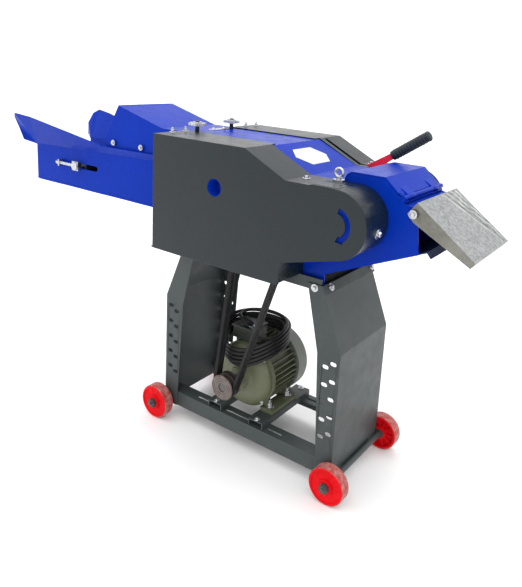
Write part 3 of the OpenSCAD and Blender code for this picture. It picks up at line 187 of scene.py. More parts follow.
# Material helpers
def newMaterial(name):
    m = bpy.data.materials.new(name)
    m.use_nodes = True
    return m, m.node_tree.nodes, m.node_tree.links, m.node_tree.nodes["Principled BSDF"]


def noiseAt(tree, links, coords, scale, detail=2.0, rough=0.5):
    n = tree.new("ShaderNodeTexNoise")
    n.inputs["Scale"].default_value = scale
    n.inputs["Detail"].default_value = detail
    n.inputs["Roughness"].default_value = rough
    links.new(coords, n.inputs["Vector"])
    return n.outputs["Fac"]


def ranged(tree, links, value, low, high, fromLow=0.3, fromHigh=0.7):
    n = tree.new("ShaderNodeMapRange")
    n.inputs["From Min"].default_value = fromLow
    n.inputs["From Max"].default_value = fromHigh
    n.inputs["To Min"].default_value = low
    n.inputs["To Max"].default_value = high
    links.new(value, n.inputs["Value"])
    return n.outputs["Result"]


def mixed(tree, links, factor, a, b):
    n = tree.new("ShaderNodeMix")
    n.data_type = "RGBA"
    links.new(factor, n.inputs["Factor"])
    for socket, value in ((n.inputs[6], a), (n.inputs[7], b)):
        if hasattr(value, "links"):
            links.new(value, socket)
        else:
            socket.default_value = (*value, 1)
    return n.outputs[2]


def reckoned(tree, links, operation, *values, kind="ShaderNodeMath"):
    # A maths node whose inputs are linked, or set where the value is plain
    n = tree.new(kind)
    n.operation = operation
    for socket, value in zip(n.inputs, values):
        if hasattr(value, "links"):
            links.new(value, socket)
        else:
            socket.default_value = value
    return n.outputs


def bumped(tree, links, height, distance, strength, bsdf):
    n = tree.new("ShaderNodeBump")
    n.inputs["Distance"].default_value = distance
    n.inputs["Strength"].default_value = strength
    links.new(height, n.inputs["Height"])
    links.new(n.outputs["Normal"], bsdf.inputs["Normal"])


def scaled(colour, f):
    return tuple(min(1.0, c * f) for c in colour)


def surface(name, colour, rough=(0.35, 0.5), metallic=0.0, tone=0.08, toneScale=7.0,
            grain=(500.0, 0.0001, 0.2), dust=None, coat=0.0, specular=0.5):
    # Plain finish: tone wandering by a broad noise, dust specks, uneven gloss and a fine grain
    m, tree, links, bsdf = newMaterial(name)
    coords = tree.new("ShaderNodeTexCoord").outputs["Object"]
    broad = ranged(tree, links, noiseAt(tree, links, coords, toneScale, 3.0), 0, 1)
    base = mixed(tree, links, broad, scaled(colour, 1 - tone), scaled(colour, 1 + tone))
    if dust:
        speck = noiseAt(tree, links, coords, dust["scale"], 6.0, 0.65)
        base = mixed(tree, links, ranged(tree, links, speck, 0, dust["amount"], dust["low"], dust["high"]),
                     base, dust["colour"])
    links.new(base, bsdf.inputs["Base Color"])
    links.new(ranged(tree, links, noiseAt(tree, links, coords, toneScale * 4, 3.0), *rough),
              bsdf.inputs["Roughness"])
    bumped(tree, links, noiseAt(tree, links, coords, grain[0]), grain[1], grain[2], bsdf)
    bsdf.inputs["Metallic"].default_value = metallic
    bsdf.inputs["Coat Weight"].default_value = coat
    bsdf.inputs["Specular IOR Level"].default_value = specular
    return m


paleDust = dict(scale=26.0, amount=0.16, low=0.56, high=0.74, colour=(0.42, 0.42, 0.41))
bluePaint = surface("bluePaint", (0.001, 0.026, 0.335), rough=(0.24, 0.34), tone=0.06,
                    grain=(420.0, 0.00004, 0.06), specular=0.06)
# Darker blue than the body paint: painted shade on the shadowed chamber pan, with dust specks
panShadeBlue = surface("panShadeBlue", (0.012, 0.02, 0.075), rough=(0.4, 0.55), tone=0.15, toneScale=20.0,
                      grain=(420.0, 0.0001, 0.15), specular=0.2, dust=dict(paleDust, amount=0.05))
slatePaint = surface("slatePaint", (0.005, 0.0105, 0.014), rough=(0.24, 0.34), tone=0.05,
                     grain=(420.0, 0.00004, 0.06), specular=0.36)
standPaint = surface("standPaint", (0.042, 0.052, 0.052), rough=(0.36, 0.5), tone=0.07,
                     grain=(420.0, 0.00012, 0.15), specular=0.35, dust=dict(paleDust, amount=0.04))
zincPlate = surface("zincPlate", (0.52, 0.53, 0.55), rough=(0.22, 0.38), metallic=1.0, tone=0.1,
                    toneScale=60.0, grain=(900.0, 0.00005, 0.2))
turnedSteel = surface("turnedSteel", (0.5, 0.5, 0.5), rough=(0.28, 0.45), metallic=1.0, tone=0.12,
                      toneScale=40.0, grain=(900.0, 0.00005, 0.3))
redPaint = surface("redPaint", (0.8, 0.012, 0.03), rough=(0.25, 0.38), tone=0.08, coat=0.2)
blackRubber = surface("blackRubber", (0.012, 0.012, 0.013), rough=(0.5, 0.68), tone=0.2, toneScale=30.0,
                      grain=(700.0, 0.0002, 0.35), specular=0.2,
                      dust=dict(paleDust, amount=0.04, scale=60.0))
gripRubber = surface("gripRubber", (0.014, 0.02, 0.027), rough=(0.42, 0.58), tone=0.15, toneScale=40.0,
                     grain=(600.0, 0.0004, 0.4), specular=0.35)
cableJacket = surface("cableJacket", (0.009, 0.009, 0.01), rough=(0.38, 0.52), tone=0.2, toneScale=30.0,
                      grain=(800.0, 0.0001, 0.25), specular=0.35)
olivePaint = surface("olivePaint", (0.104, 0.116, 0.062), rough=(0.35, 0.5), tone=0.1, toneScale=12.0,
                     grain=(300.0, 0.0002, 0.25), dust=dict(paleDust, amount=0.1))
darkSteel = surface("darkSteel", (0.13, 0.13, 0.13), rough=(0.35, 0.5), metallic=0.9, tone=0.12,
                    toneScale=60.0, grain=(900.0, 0.00005, 0.2))
# Near black: painted shade for the deck opening under the thrower chamber
deckShadeBlack = surface("deckShadeBlack", (0.004, 0.005, 0.006), rough=(0.5, 0.62), tone=0.1, toneScale=14.0,
                    grain=(420.0, 0.00006, 0.1), specular=0.05)
boxPaint = surface("boxPaint", (0.03, 0.034, 0.028), rough=(0.35, 0.5), tone=0.12, toneScale=14.0,
                   grain=(300.0, 0.0002, 0.2), dust=dict(paleDust, amount=0.06))
cowlPaint = surface("cowlPaint", (0.15, 0.165, 0.14), rough=(0.32, 0.46), tone=0.08, toneScale=12.0,
                    grain=(400.0, 0.0001, 0.2), dust=dict(paleDust, amount=0.08))
stickerWhite = surface("stickerWhite", (0.6, 0.6, 0.61), rough=(0.24, 0.34), tone=0.02,
                       grain=(300.0, 0.00004, 0.1))
floorWhite = surface("floorWhite", (0.9, 0.9, 0.9), rough=(0.6, 0.7), tone=0.01, toneScale=2.0,
                     grain=(60.0, 0.0001, 0.05))

# Galvanised sheet: one tone, gloss and tilt for each crystal, darker and browner on the side flanges as
# painted shade
zincSkin = dict(cells=190.0, drift=140.0, warp=0.004, dark=(0.24, 0.25, 0.25), pale=(0.4, 0.415, 0.415),
                streak=(0.54, 0.55, 0.54), flangeAt=0.1205, flangeBlend=0.0006,
                flange=((0.13, 0.125, 0.1), (0.21, 0.205, 0.175)), rough=(0.3, 0.5), metallic=0.85)
# Painted shade on the falling flanks of the crease and a painted highlight on the rising ones, which face the
# near side
flankShadeAndHighlight = [dict(fold=(0.2, 0.5), share=(0.9, 0), colour=(0.1, 0.098, 0.082)),
             dict(fold=(0.55, 0.85), share=(0, 0.6), colour=(0.62, 0.62, 0.61))]


def galvanisedSheet(name, flankShading):
    c = zincSkin
    m, tree, links, bsdf = newMaterial(name)
    coords = tree.new("ShaderNodeTexCoord").outputs["Object"]
    drift = tree.new("ShaderNodeTexNoise")
    drift.inputs["Scale"].default_value = c["drift"]
    links.new(coords, drift.inputs["Vector"])
    warped = reckoned(tree, links, "MULTIPLY_ADD", drift.outputs["Color"], (c["warp"],) * 3, coords,
                      kind="ShaderNodeVectorMath")
    cells = tree.new("ShaderNodeTexVoronoi")
    cells.inputs["Scale"].default_value = c["cells"]
    links.new(warped["Vector"], cells.inputs["Vector"])
    split = tree.new("ShaderNodeSeparateColor")
    links.new(cells.outputs["Color"], split.inputs[0])
    tone = mixed(tree, links, split.outputs[0], c["dark"], c["pale"])
    streak = noiseAt(tree, links, coords, 9.0, 5.0, 0.6)
    tone = mixed(tree, links, ranged(tree, links, streak, 0, 0.3, 0.5, 0.75), tone, c["streak"])
    # Painted shade and painted highlight from the skin's fold attribute, its slope across, in noise patches
    for spec in flankShading:
        fold = tree.new("ShaderNodeAttribute")
        fold.attribute_name = "fold"
        patches = ranged(tree, links, noiseAt(tree, links, coords, 48.0, 3.0, 0.6), 0.4, 1, 0.4, 0.6)
        flank = ranged(tree, links, fold.outputs["Fac"], *spec["share"], *spec["fold"])
        tone = mixed(tree, links, reckoned(tree, links, "MULTIPLY", flank, patches)[0], tone, spec["colour"])
    across = tree.new("ShaderNodeSeparateXYZ")
    links.new(coords, across.inputs[0])
    out = reckoned(tree, links, "ABSOLUTE", across.outputs["Y"])[0]
    # Past flangeAt across, the side flanges take a darker, browner tone: painted shade
    flange = mixed(tree, links, ranged(tree, links, streak, 0, 1, 0.35, 0.65), *c["flange"])
    onFlange = ranged(tree, links, out, 0, 1, c["flangeAt"], c["flangeAt"] + c["flangeBlend"])
    links.new(mixed(tree, links, onFlange, tone, flange), bsdf.inputs["Base Color"])
    links.new(ranged(tree, links, split.outputs[1], *c["rough"], 0, 1), bsdf.inputs["Roughness"])
    bumped(tree, links, split.outputs[2], 0.00015, 0.25, bsdf)
    bsdf.inputs["Metallic"].default_value = c["metallic"]
    return m


def radiusFrom(tree, links, centre):
    # Distance from a cross axis through centre, in the piece's own coordinates
    coords = tree.new("ShaderNodeTexCoord").outputs["Object"]
    vector = "ShaderNodeVectorMath"
    shift = reckoned(tree, links, "SUBTRACT", coords, tuple(centre), kind=vector)["Vector"]
    flat = reckoned(tree, links, "MULTIPLY", shift, (1, 0, 1), kind=vector)["Vector"]
    return coords, reckoned(tree, links, "LENGTH", flat, kind=vector)["Value"]


# Red moulded wheel with a grey band where the tread rubs
wheelRed = dict(dark=(0.6, 0.004, 0.008), pale=(0.74, 0.008, 0.014), tread=0.0494,
                worn=((0.38, 0.05, 0.045), (0.44, 0.21, 0.19)), specular=0.06)


def wheelPlastic(name, centre):
    c = wheelRed
    m, tree, links, bsdf = newMaterial(name)
    coords, radius = radiusFrom(tree, links, centre)
    tone = noiseAt(tree, links, coords, 18.0, 3.0)
    red = mixed(tree, links, ranged(tree, links, tone, 0, 1), c["dark"], c["pale"])
    rub = noiseAt(tree, links, coords, 70.0, 4.0, 0.6)
    wear = mixed(tree, links, ranged(tree, links, rub, 0, 1, 0.35, 0.65), *c["worn"])
    band = ranged(tree, links, radius, 0, 1, c["tread"] - 0.0006, c["tread"] + 0.0004)
    links.new(mixed(tree, links, band, red, wear), bsdf.inputs["Base Color"])
    links.new(ranged(tree, links, rub, 0.3, 0.48), bsdf.inputs["Roughness"])
    bumped(tree, links, rub, 0.0002, 0.15, bsdf)
    bsdf.inputs["Specular IOR Level"].default_value = c["specular"]
    return m


# Brown cast iron, turned bright in rings and rubbed by the belts
castIron = dict(dark=(0.08, 0.06, 0.052), pale=(0.17, 0.14, 0.125), turned=(0.3, 0.27, 0.255), rings=900.0,
                bright=0.033, metallic=0.8)


def castPulley(name, centre):
    c = castIron
    m, tree, links, bsdf = newMaterial(name)
    coords, radius = radiusFrom(tree, links, centre)
    ring = reckoned(tree, links, "SINE", reckoned(tree, links, "MULTIPLY", radius, c["rings"])[0])[0]
    rust = noiseAt(tree, links, coords, 50.0, 5.0, 0.6)
    base = mixed(tree, links, ranged(tree, links, rust, 0, 1), c["dark"], c["pale"])
    base = mixed(tree, links, ranged(tree, links, ring, 0, 0.4, 0.2, 1), base, c["turned"])
    worn = ranged(tree, links, radius, 1, 0, c["bright"] - 0.001, c["bright"] + 0.0005)
    links.new(base, bsdf.inputs["Base Color"])
    links.new(ranged(tree, links, worn, 0.5, 0.32, 0, 1), bsdf.inputs["Roughness"])
    bumped(tree, links, ring, 0.0002, 0.3, bsdf)
    bsdf.inputs["Metallic"].default_value = c["metallic"]
    return m


galvanised = galvanisedSheet("galvanised", [])
creasedSheet = galvanisedSheet("creasedSheet", flankShadeAndHighlight)
pulleyIron = castPulley("castPulley", at(motorAxis["x"], 0, motorAxis["z"]))
wheelPaints = {name: wheelPlastic(name + "Plastic", at(sx * wheelAxis["x"], 0, wheelAxis["z"]))
               for name, sx, sy in wheels}
print("materials made")

# Power cable: the same winding as in the CAD source. Down the inner layer, out by one layer, up the
# outer one and back in to the plug; z(a) = level(a) - droop ((1 - sin a) / 2)^3
cable = dict(d=10, coilR=83.5, layerStep=12.5, pitch=11.8, loopsIn=2.5, loopsOut=4, boxZ=309, seat=0.3,
             centre=(-26, -42), droop=50, climb=12, bendR=42, leadA=18, swap=126, tailA=45, tailBend=110,
             leadX=30, step=5, sides=14)


def windingPath(c):
    coilZ = c["boxZ"] + c["d"] / 2 + c["seat"]
    leadZ = coilZ + c["loopsIn"] * c["pitch"]
    topZ = coilZ + c["loopsOut"] * c["pitch"]
    lead, foot, outer, top, back, tail = np.cumsum([c["leadA"], 360 * c["loopsIn"], c["swap"],
                                                    360 * c["loopsOut"], c["swap"], c["tailA"]])
    end = tail + c["tailBend"]

    def eased(deg, low, high):
        f = np.clip((deg - low) / (high - low), 0, 1)
        return f * f * (3 - 2 * f)

    def polar(r, deg):
        return np.stack([r * np.cos(np.radians(deg)), r * np.sin(np.radians(deg))], -1)

    def sag(deg):
        return c["droop"] * ((1 - np.sin(np.radians(deg))) / 2) ** 3

    def level(deg):
        falling = leadZ - (deg - lead) / 360 * c["pitch"]
        rising = coilZ + (deg - outer) / 360 * c["pitch"]
        return np.select([deg < foot, deg < outer, deg < top], [falling, coilZ + 0 * deg, rising], topZ)

    def raised(plan, z):
        return np.column_stack([plan, z * np.ones(len(plan))])

    def degrees(first, last):
        return np.arange(first, last + 0.1, c["step"])

    turnIn = polar(c["coilR"] - c["bendR"], lead)
    glandZ = leadZ - sag(lead) - c["climb"]
    gland = np.stack([c["leadX"] + np.arange(3) * c["d"] / 2, np.full(3, turnIn[1] - c["bendR"])], -1)
    deg = degrees(-90, lead)
    bendIn = raised(turnIn + polar(c["bendR"], deg), glandZ + c["climb"] * eased(deg, -90, lead))
    bendIn = bendIn[bendIn[:, 0] > gland[-1, 0] + 1]
    deg = degrees(lead + c["step"], tail)
    r = c["coilR"] + c["layerStep"] * (eased(deg, foot, outer) - eased(deg, top, back))
    turns = raised(polar(r, deg), level(deg) - sag(deg))
    turnOut = polar(c["coilR"] - c["bendR"], tail)
    bendOut = raised(turnOut + polar(c["bendR"], degrees(tail + c["step"], end)), topZ - sag(tail))
    away = np.array([-math.sin(math.radians(end)), math.cos(math.radians(end)), 0])
    straight = bendOut[-1] + away * c["d"] * np.array([[0.5], [1.0]])
    x, y, z = np.concatenate([raised(gland, glandZ), bendIn, turns, bendOut, straight]).T
    return at(x + c["centre"][0], y + c["centre"][1], z), away


cablePath, plugDir = windingPath(cable)
powerCable = meshPiece("powerCable", *tubeAlong(cablePath, cable["d"] / 2000, cable["sides"]), cableJacket,
                       "base", "rubber")
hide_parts("cord_coil")

# Moulded plug: ribbed relief, then a waisted body that is a rounded square, r (1 + square cos 4a)
plugShape = dict(relief=10, reliefR=6, flare=0.13, rib=0.55, ribs=9, body=34, square=0.05,
                 profile=[(0.2, 10.5), (1.2, 11.8), (3, 12.3), (9, 11.8), (15, 11.2), (19, 11.6), (20, 12.1),
                          (22, 12.3), (23, 11.9), (30, 12.2), (32.6, 12.1), (33.6, 11.4), (34, 10.2)])
# Flat pins, wide across and thin through: r (|cos a|^4 + |flat sin a|^4)^-1/4
pinShape = dict(x=6, sunk=0.5, flat=2.9, profile=[(0, 2.9), (15, 2.9), (17.4, 2.4), (18, 1.4)])


def plugRows(c):
    h = np.linspace(0, c["relief"], c["ribs"])
    relief = np.stack([h, c["reliefR"] + c["flare"] * h + c["rib"] * (np.arange(c["ribs"]) % 2), 0 * h], -1)
    body = [(c["relief"] + h, r, c["square"]) for h, r in c["profile"]]
    return np.concatenate([relief, body])


def plugRadius(rows, a):
    return rows[:, 1:2] * (1 + rows[:, 2:3] * np.cos(4 * a))


def pinRadius(rows, a):
    return rows[:, 1:2] * (np.abs(np.cos(a)) ** 4 + (np.abs(np.sin(a)) * pinShape["flat"]) ** 4) ** -0.25


plug = meshPiece("plugBody", *lathe(cablePath[-1], plugDir, plugRows(plugShape), 32, plugRadius), blackRubber,
                 "base", "rubber")
pinStart = cablePath[-1] + plugDir * (plugShape["relief"] + plugShape["body"] - pinShape["sunk"]) / 1000
pinStep = np.cross(plugDir, [0, 0, 1.0]) * pinShape["x"] / 1000
plugPins = meshPiece("plugPins", *joinGrids([lathe(pinStart + s * pinStep, plugDir, pinShape["profile"], 24,
                                                   pinRadius) for s in bothSides]), zincPlate, "base", "zinc")
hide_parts("plug")

# Finishes of the CAD nodes
finishes = [
    (bluePaint, ["near_side_wall", "far_side_wall", "knife_pan", "top_plate", "chamber_hood", "hinge_pin",
                 "feed_trough", "feed_hood"]),
    # The chamber pan's darker blue is painted shade
    (panShadeBlue, ["chamber_pan"]),
    (slatePaint, ["near_guard", "far_guard", "float_frame", "thrower_rotor", "knife_carrier", "drive_pulley",
                  "thrower_pulley"]),
    (standPaint, ["left_end_panel", "right_end_panel", "near_lower_rail", "far_lower_rail", "near_top_rail",
                  "far_top_rail", "motor_rails", "left_axle", "right_axle"]),
    (zincPlate, ["hood_lock", "takeup_screws", "knives", "near_hand_nut", "far_hand_nut"]),
    (turnedSteel, ["idler_roller", "rear_belt_roller", "ledger_knife", "knife_shaft", "feed_pinion",
                   "feed_gear", "lower_roller", "upper_roller", "upper_timing_gear", "roller_springs",
                   "shaft_bearings"]),
    (darkSteel, ["motor_shaft"]),
    (galvanised, ["deflector"]),
    (pulleyIron, ["motor_pulley"]),
    (blackRubber, ["feed_belt", "motor_belts", "thrower_belt", "cord_gland"]),
    (gripRubber, ["lever_grip"]),
    (olivePaint, ["motor_body", "motor_bell"]),
    (boxPaint, ["terminal_box"]),
    (cowlPaint, ["fan_cowl"]),
    (redPaint, ["lever"]),
] + [(paint, [name]) for name, paint in wheelPaints.items()]
for material, names in finishes:
    for name in names:
        mesh = nodes[name].data
        mesh.materials.clear()
        mesh.materials.append(material)

# Folded sheet and pressed edges get a small round
softEdge = dict(width=1.0, segments=3, angle=32, weld=0.02,
                names=["near_guard", "far_guard", "chamber_hood", "feed_hood", "top_plate", "left_end_panel",
                       "right_end_panel", "deflector", "feed_trough", "near_lower_rail", "far_lower_rail",
                       "motor_rails", "terminal_box"])
for name in softEdge["names"]:
    weld = nodes[name].modifiers.new("seams", "WELD")
    weld.merge_threshold = softEdge["weld"] / 1000
    bevel = nodes[name].modifiers.new("edges", "BEVEL")
    bevel.width = softEdge["width"] / 1000
    bevel.segments = softEdge["segments"]
    bevel.limit_method = "ANGLE"
    bevel.angle_limit = math.radians(softEdge["angle"])
print("nodes finished", sum(len(names) for material, names in finishes))

# Bolts: washer, chamfered hex head or nut, and a thread end where it is a stud. A row is a height and a
# radius, as shares of half the width across flats, and 1 for a hexagon
boltRows = {
    "bolt": [(0, 2.05, 0), (0.3, 2.05, 0), (0.38, 1.96, 0), (0.39, 1.0, 1), (1.25, 1.0, 1), (1.42, 0.97, 0),
             (1.46, 0.85, 0), (1.47, 0.3, 0)],
    "stud": [(0, 2.1, 0), (0.3, 2.1, 0), (0.38, 2.0, 0), (0.39, 0.98, 0), (0.5, 1.0, 1), (1.7, 1.0, 1),
             (1.84, 0.98, 0), (1.86, 0.56, 0)]
            + [(1.95 + 0.15 * k, 0.56 if k % 2 else 0.62, 0) for k in range(8)]
            + [(3.1, 0.48, 0), (3.12, 0.2, 0)],
    "pan": [(0, 1.5, 0), (0.25, 1.5, 0), (0.3, 1.42, 0), (0.32, 1.1, 0), (0.55, 1.04, 0), (0.75, 0.88, 0),
            (0.88, 0.6, 0), (0.92, 0.25, 0)],
}
boltShape = dict(sides=36, corner=1.13, facetAngle=28)


def boltRadius(rows, a):
    # A circle, or the hexagon 1 / cos(a mod 60 - 30) with its corners turned off
    hexagon = 1 / np.cos((a + np.pi / 6) % (np.pi / 3) - np.pi / 6)
    return rows[:, 1:2] * np.where(rows[:, 2:3] > 0, np.minimum(hexagon, boltShape["corner"]), 1.0)


def boltGroup(name, body, places, material=zincPlate):
    parts = [lathe(at(*place), direction, np.array(boltRows[kind]) * (half, half, 1), boltShape["sides"],
                   boltRadius) for kind, half, place, direction in places]
    obj = meshPiece(name, *joinGrids(parts), material, body, "zinc")
    split = obj.modifiers.new("facets", "EDGE_SPLIT")
    split.split_angle = math.radians(boltShape["facetAngle"])


legBolts = dict(half=5, x=212, y=128, z=549)
barBolts = dict(half=5, x=241.1, y=(-98, 118), z=550.2, lean=(80, 60))
boltGroup("standBolts", "base",
          [("bolt", legBolts["half"], (s * legBolts["x"], t * legBolts["y"], legBolts["z"]), (0, t, 0))
           for s in bothSides for t in bothSides]
          + [("bolt", barBolts["half"], (s * barBolts["x"], y, barBolts["z"]),
              (s * barBolts["lean"][0], 0, barBolts["lean"][1])) for s in bothSides for y in barBolts["y"]])
motorFeet = dict(half=6.5, x=(-103, 43), y=(-52, 34), z=120)
boltGroup("motorBolts", "base", [("stud", motorFeet["half"], (x, y, motorFeet["z"]), up)
                                 for x in motorFeet["x"] for y in motorFeet["y"]])
lowerRail = dict(half=4.5, x=(-105, 45), y=112, z=108)
topRail = dict(half=4, x=(-126, 126), y=125, z=561)
boltGroup("railBolts", "base",
          [("bolt", lowerRail["half"], (x, t * lowerRail["y"], lowerRail["z"]), up)
           for x in lowerRail["x"] for t in bothSides]
          + [("bolt", topRail["half"], (x, t * topRail["y"], topRail["z"]), (0, t, 0))
             for x in topRail["x"] for t in bothSides])
guardStuds = dict(half=4.5, z=886, places=((-247, -168), (-246, -118), (-247, 150), (-238, 190)))
slopeBolts = dict(half=5, x=190, y=165, z=826.5)
boltGroup("guardBolts", "base",
          [("stud", guardStuds["half"], (x, y, guardStuds["z"]), up) for x, y in guardStuds["places"]]
          + [("bolt", slopeBolts["half"], (slopeBolts["x"], t * slopeBolts["y"], slopeBolts["z"]), up)
             for t in bothSides])
tongue = dict(half=6, r=80, y=160, angle=-11.3)
rimDir = np.array([math.cos(math.radians(tongue["angle"])), 0, math.sin(math.radians(tongue["angle"]))])
boltGroup("tongueBolts", "base",
          [("bolt", tongue["half"], (throwerAxis["x"] + tongue["r"] * rimDir[0], t * tongue["y"],
                                     throwerAxis["z"] + tongue["r"] * rimDir[2]), rimDir) for t in bothSides])
hoodFeet = dict(half=4.2, x=(-548, -426), y=119, z=817)
boltGroup("feedHoodBolts", "base",
          [("bolt", hoodFeet["half"], (x, t * hoodFeet["y"], hoodFeet["z"]), (0, t, 0))
           for x in hoodFeet["x"] for t in bothSides])
pivotBolts = dict(half=5, y=127)
boltGroup("deflectorBolts", "deflector",
          [("bolt", pivotBolts["half"], (deflectorAxis["x"], t * pivotBolts["y"], deflectorAxis["z"]),
            (0, t, 0)) for t in bothSides])
bell = dict(half=5, r=89, y=-80, angles=(45, 135, 225, 315))
boltGroup("bellBolts", "base",
          [("pan", bell["half"], (motorAxis["x"] + bell["r"] * math.cos(math.radians(d)), bell["y"],
                                  motorAxis["z"] + bell["r"] * math.sin(math.radians(d))), near)
           for d in bell["angles"]])

# Cross bars along the tops of the end panels: a wedge profile (s down the panel, n out of it) carried across,
# P(y, k) = top + s(k) down + n(k) out, drawn in by a share at both ends
crossBar = dict(top=(234, 559), lean=(166, 66), half=127, draw=1.5, endShare=0.9,
                profile=((0.6, 0.1), (0.2, 0.5), (0.8, 1.1), (23.8, 7.0), (25.0, 7.1), (25.8, 6.5), (26, 5.5),
                         (26, 0.1)))


def barAcross(side):
    c = crossBar
    out = np.array(c["lean"], float) / np.hypot(*c["lean"])
    down = np.array([out[1], -out[0]])
    y = np.array([-c["half"], -c["half"] + c["draw"], 0, c["half"] - c["draw"], c["half"]])
    share = np.array([c["endShare"], 1, 1, 1, c["endShare"]])
    profile = np.array(c["profile"])
    middle = profile.mean(0)
    rows = middle + share[:, None, None] * (profile - middle)
    xz = np.array(c["top"]) + rows[..., :1] * down + rows[..., 1:] * out
    v = at(side * xz[..., 0], y[:, None], xz[..., 1])
    return v.reshape(-1, 3), gridFaces(len(y), len(profile))


meshPiece("crossBars", *joinGrids([barAcross(t) for t in bothSides]), standPaint, "base", "stand_paint",
          smooth=False)

# Take-up rods: a thread of triangular turns, r(h, a) = r0 + depth tri(h / pitch - a / 2 pi)
thread = dict(x0=-826, x1=-741, y=123, z=720, r=5.1, depth=0.55, pitch=3.0, sides=24, perTurn=6)


def threadRod(side):
    c = thread
    h = np.arange(c["x0"], c["x1"], c["pitch"] / c["perTurn"])[:, None]
    a = angles(c["sides"])
    r = c["r"] + c["depth"] * np.abs(2 * ((h / c["pitch"] - a / (2 * np.pi)) % 1) - 1)
    v = at(h, side * c["y"] + r * np.cos(a), c["z"] + r * np.sin(a))
    return v.reshape(-1, 3), gridFaces(len(h), c["sides"])


meshPiece("takeupThreads", *joinGrids([threadRod(t) for t in bothSides]), zincPlate, "base", "zinc")

# Blue cup behind the sight hole, turned from one profile and closed at its back
sight = dict(x=-43, z=774, r=22.2, depth=38, face=-224.8, sides=40)
cupRows = [(sight["depth"], 0.4), (sight["depth"], 12), (sight["depth"] - 2, 17), (sight["depth"] - 7, 20),
           (1, sight["r"] - 1), (0, sight["r"] - 0.5), (0.5, sight["r"]), (sight["depth"] - 6, sight["r"]),
           (sight["depth"] + 1, 15), (sight["depth"] + 1, 0.4)]
meshPiece("sightCup", *lathe(at(sight["x"], sight["face"], sight["z"]), far, cupRows, sight["sides"]),
          bluePaint, "base", "blue_paint")

# Blue tray behind the turning arrow: a sector, y = face + depth (1 - rim^6)
arrowTray = dict(r=(24, 50), angles=(-92, 84), face=-222, depth=7)


def traySurface(u, v):
    c = arrowTray
    a = np.radians(between(c["angles"], u))
    r = between(c["r"], v)
    return (throwerAxis["x"] + r * np.cos(a), c["face"] + c["depth"] * (1 - rim(u, v, 6)),
            throwerAxis["z"] + r * np.sin(a))


meshPiece("arrowTray", *sheetGrid(traySurface, 45, 15, (0, 0.8, 0)), bluePaint, "base", "blue_paint")

# Near-black sheet, painted shade where the opening under the thrower chamber is in deep shadow, closing the
# deck there; swelling by x + swell (1 - rim^12)
deckEnd = dict(x=225.5, half=108.4, z=(550, 598), swell=0.8)


def deckEndSurface(u, v):
    c = deckEnd
    return c["x"] + c["swell"] * (1 - rim(u, v, 12)), v * c["half"], between(c["z"], u)


meshPiece("deckEnd", *sheetGrid(deckEndSurface, 13, 25, (-1.2, 0, 0)), deckShadeBlack, "base", "slate_paint")

# Lapped sheet on the tongue's top, its free edges turned down: z + rise (1 - |u|^24)
lap = dict(x=(236, 304), y=(-224, -146), z=826.5, rise=1.0)


def lapSurface(u, v):
    return between(lap["x"], u), between(lap["y"], v), lap["z"] + lap["rise"] * (1 - np.abs(u) ** 24)


meshPiece("tongueLap", *sheetGrid(lapSurface, 41, 5, (0, 0, -0.4)), slatePaint, "base", "slate_paint")

# Zinc plate beside the far nut: the square (u, v) drawn in to a superellipse, z + thick (1 - rim^10 / 2)
nutPlate = dict(x=-250, y=26, z=883, half=(12, 40), thick=2.2, boltHalf=4.5, boltY=(-24, 22), boltZ=885)


def nutPlateSurface(u, v):
    c = nutPlate
    k = rim(u, v, 1) / (np.abs(u) ** 6 + np.abs(v) ** 6 + 1e-9) ** (1 / 6)
    return (c["x"] + c["half"][0] * u * k, c["y"] + c["half"][1] * v * k,
            c["z"] + c["thick"] * (1 - 0.5 * rim(u, v, 10)))


meshPiece("nutPlate", *sheetGrid(nutPlateSurface, 15, 33, (0, 0, -0.8)), zincPlate, "base", "zinc")
boltGroup("nutPlateBolts", "base", [("pan", nutPlate["boltHalf"], (nutPlate["x"], nutPlate["y"] + d,
                                                                   nutPlate["boltZ"]), up)
                                    for d in nutPlate["boltY"]])

# Rolled rims of the feed hood's mouth and of the trough's wings: a round bead from corner to corner
bead = dict(r=1.7, step=12, sides=10)
hoodRim = [(-593, -111.5, 824), (-530, -111.5, 931), (-529.5, 0, 931.2), (-530, 111.5, 931),
           (-593, 111.5, 824)]
wingRim = [(-992, 133.5, 777), (-1002.5, 142.5, 818), (-997, 161.5, 854), (-978, 174, 868),
           (-910, 164.2, 861), (-593, 126.2, 801.5)]


def beadAlong(corners):
    corners = np.array(corners, float)
    stretches = []
    for a, b in zip(corners[:-1], corners[1:]):
        steps = max(2, int(np.linalg.norm(b - a) / bead["step"]))
        stretches.append(a + (b - a) * np.arange(steps)[:, None] / steps)
    path = np.concatenate(stretches + [corners[-1:]])
    return tubeAlong(at(*path.T), bead["r"] / 1000, bead["sides"])


meshPiece("hoodRim", *beadAlong(hoodRim), bluePaint, "base", "blue_paint")
meshPiece("wingRims", *joinGrids([beadAlong(np.array(wingRim) * (1, t, 1)) for t in bothSides]), bluePaint,
          "base", "blue_paint")

# Rolled bend round each tongue, swelling to its middle: P(a, b) = c + R (cos a, sin a) + r(a) ring(b)
bend = dict(r=79.2, y=222.2, angles=(-96, 93), thick=(1.8, 2.6), rows=60, sides=14)


def tongueBend(side):
    c = bend
    f = np.linspace(-1, 1, c["rows"])
    a = np.radians(between(c["angles"], f))
    out = np.stack([np.cos(a), 0 * a, np.sin(a)], -1)
    along = np.stack([-np.sin(a), 0 * a, np.cos(a)], -1)
    path = at(throwerAxis["x"] + c["r"] * np.cos(a), side * c["y"], throwerAxis["z"] + c["r"] * np.sin(a))
    swell = np.clip(np.cos(np.pi / 2 * f), 0, 1) ** 0.5
    radius = (c["thick"][0] + (c["thick"][1] - c["thick"][0]) * swell) / 1000
    return ringsAlong(path, out, np.cross(out, along), radius, c["sides"])


meshPiece("tongueBends", *joinGrids([tongueBend(t) for t in bothSides]), slatePaint, "base", "slate_paint")

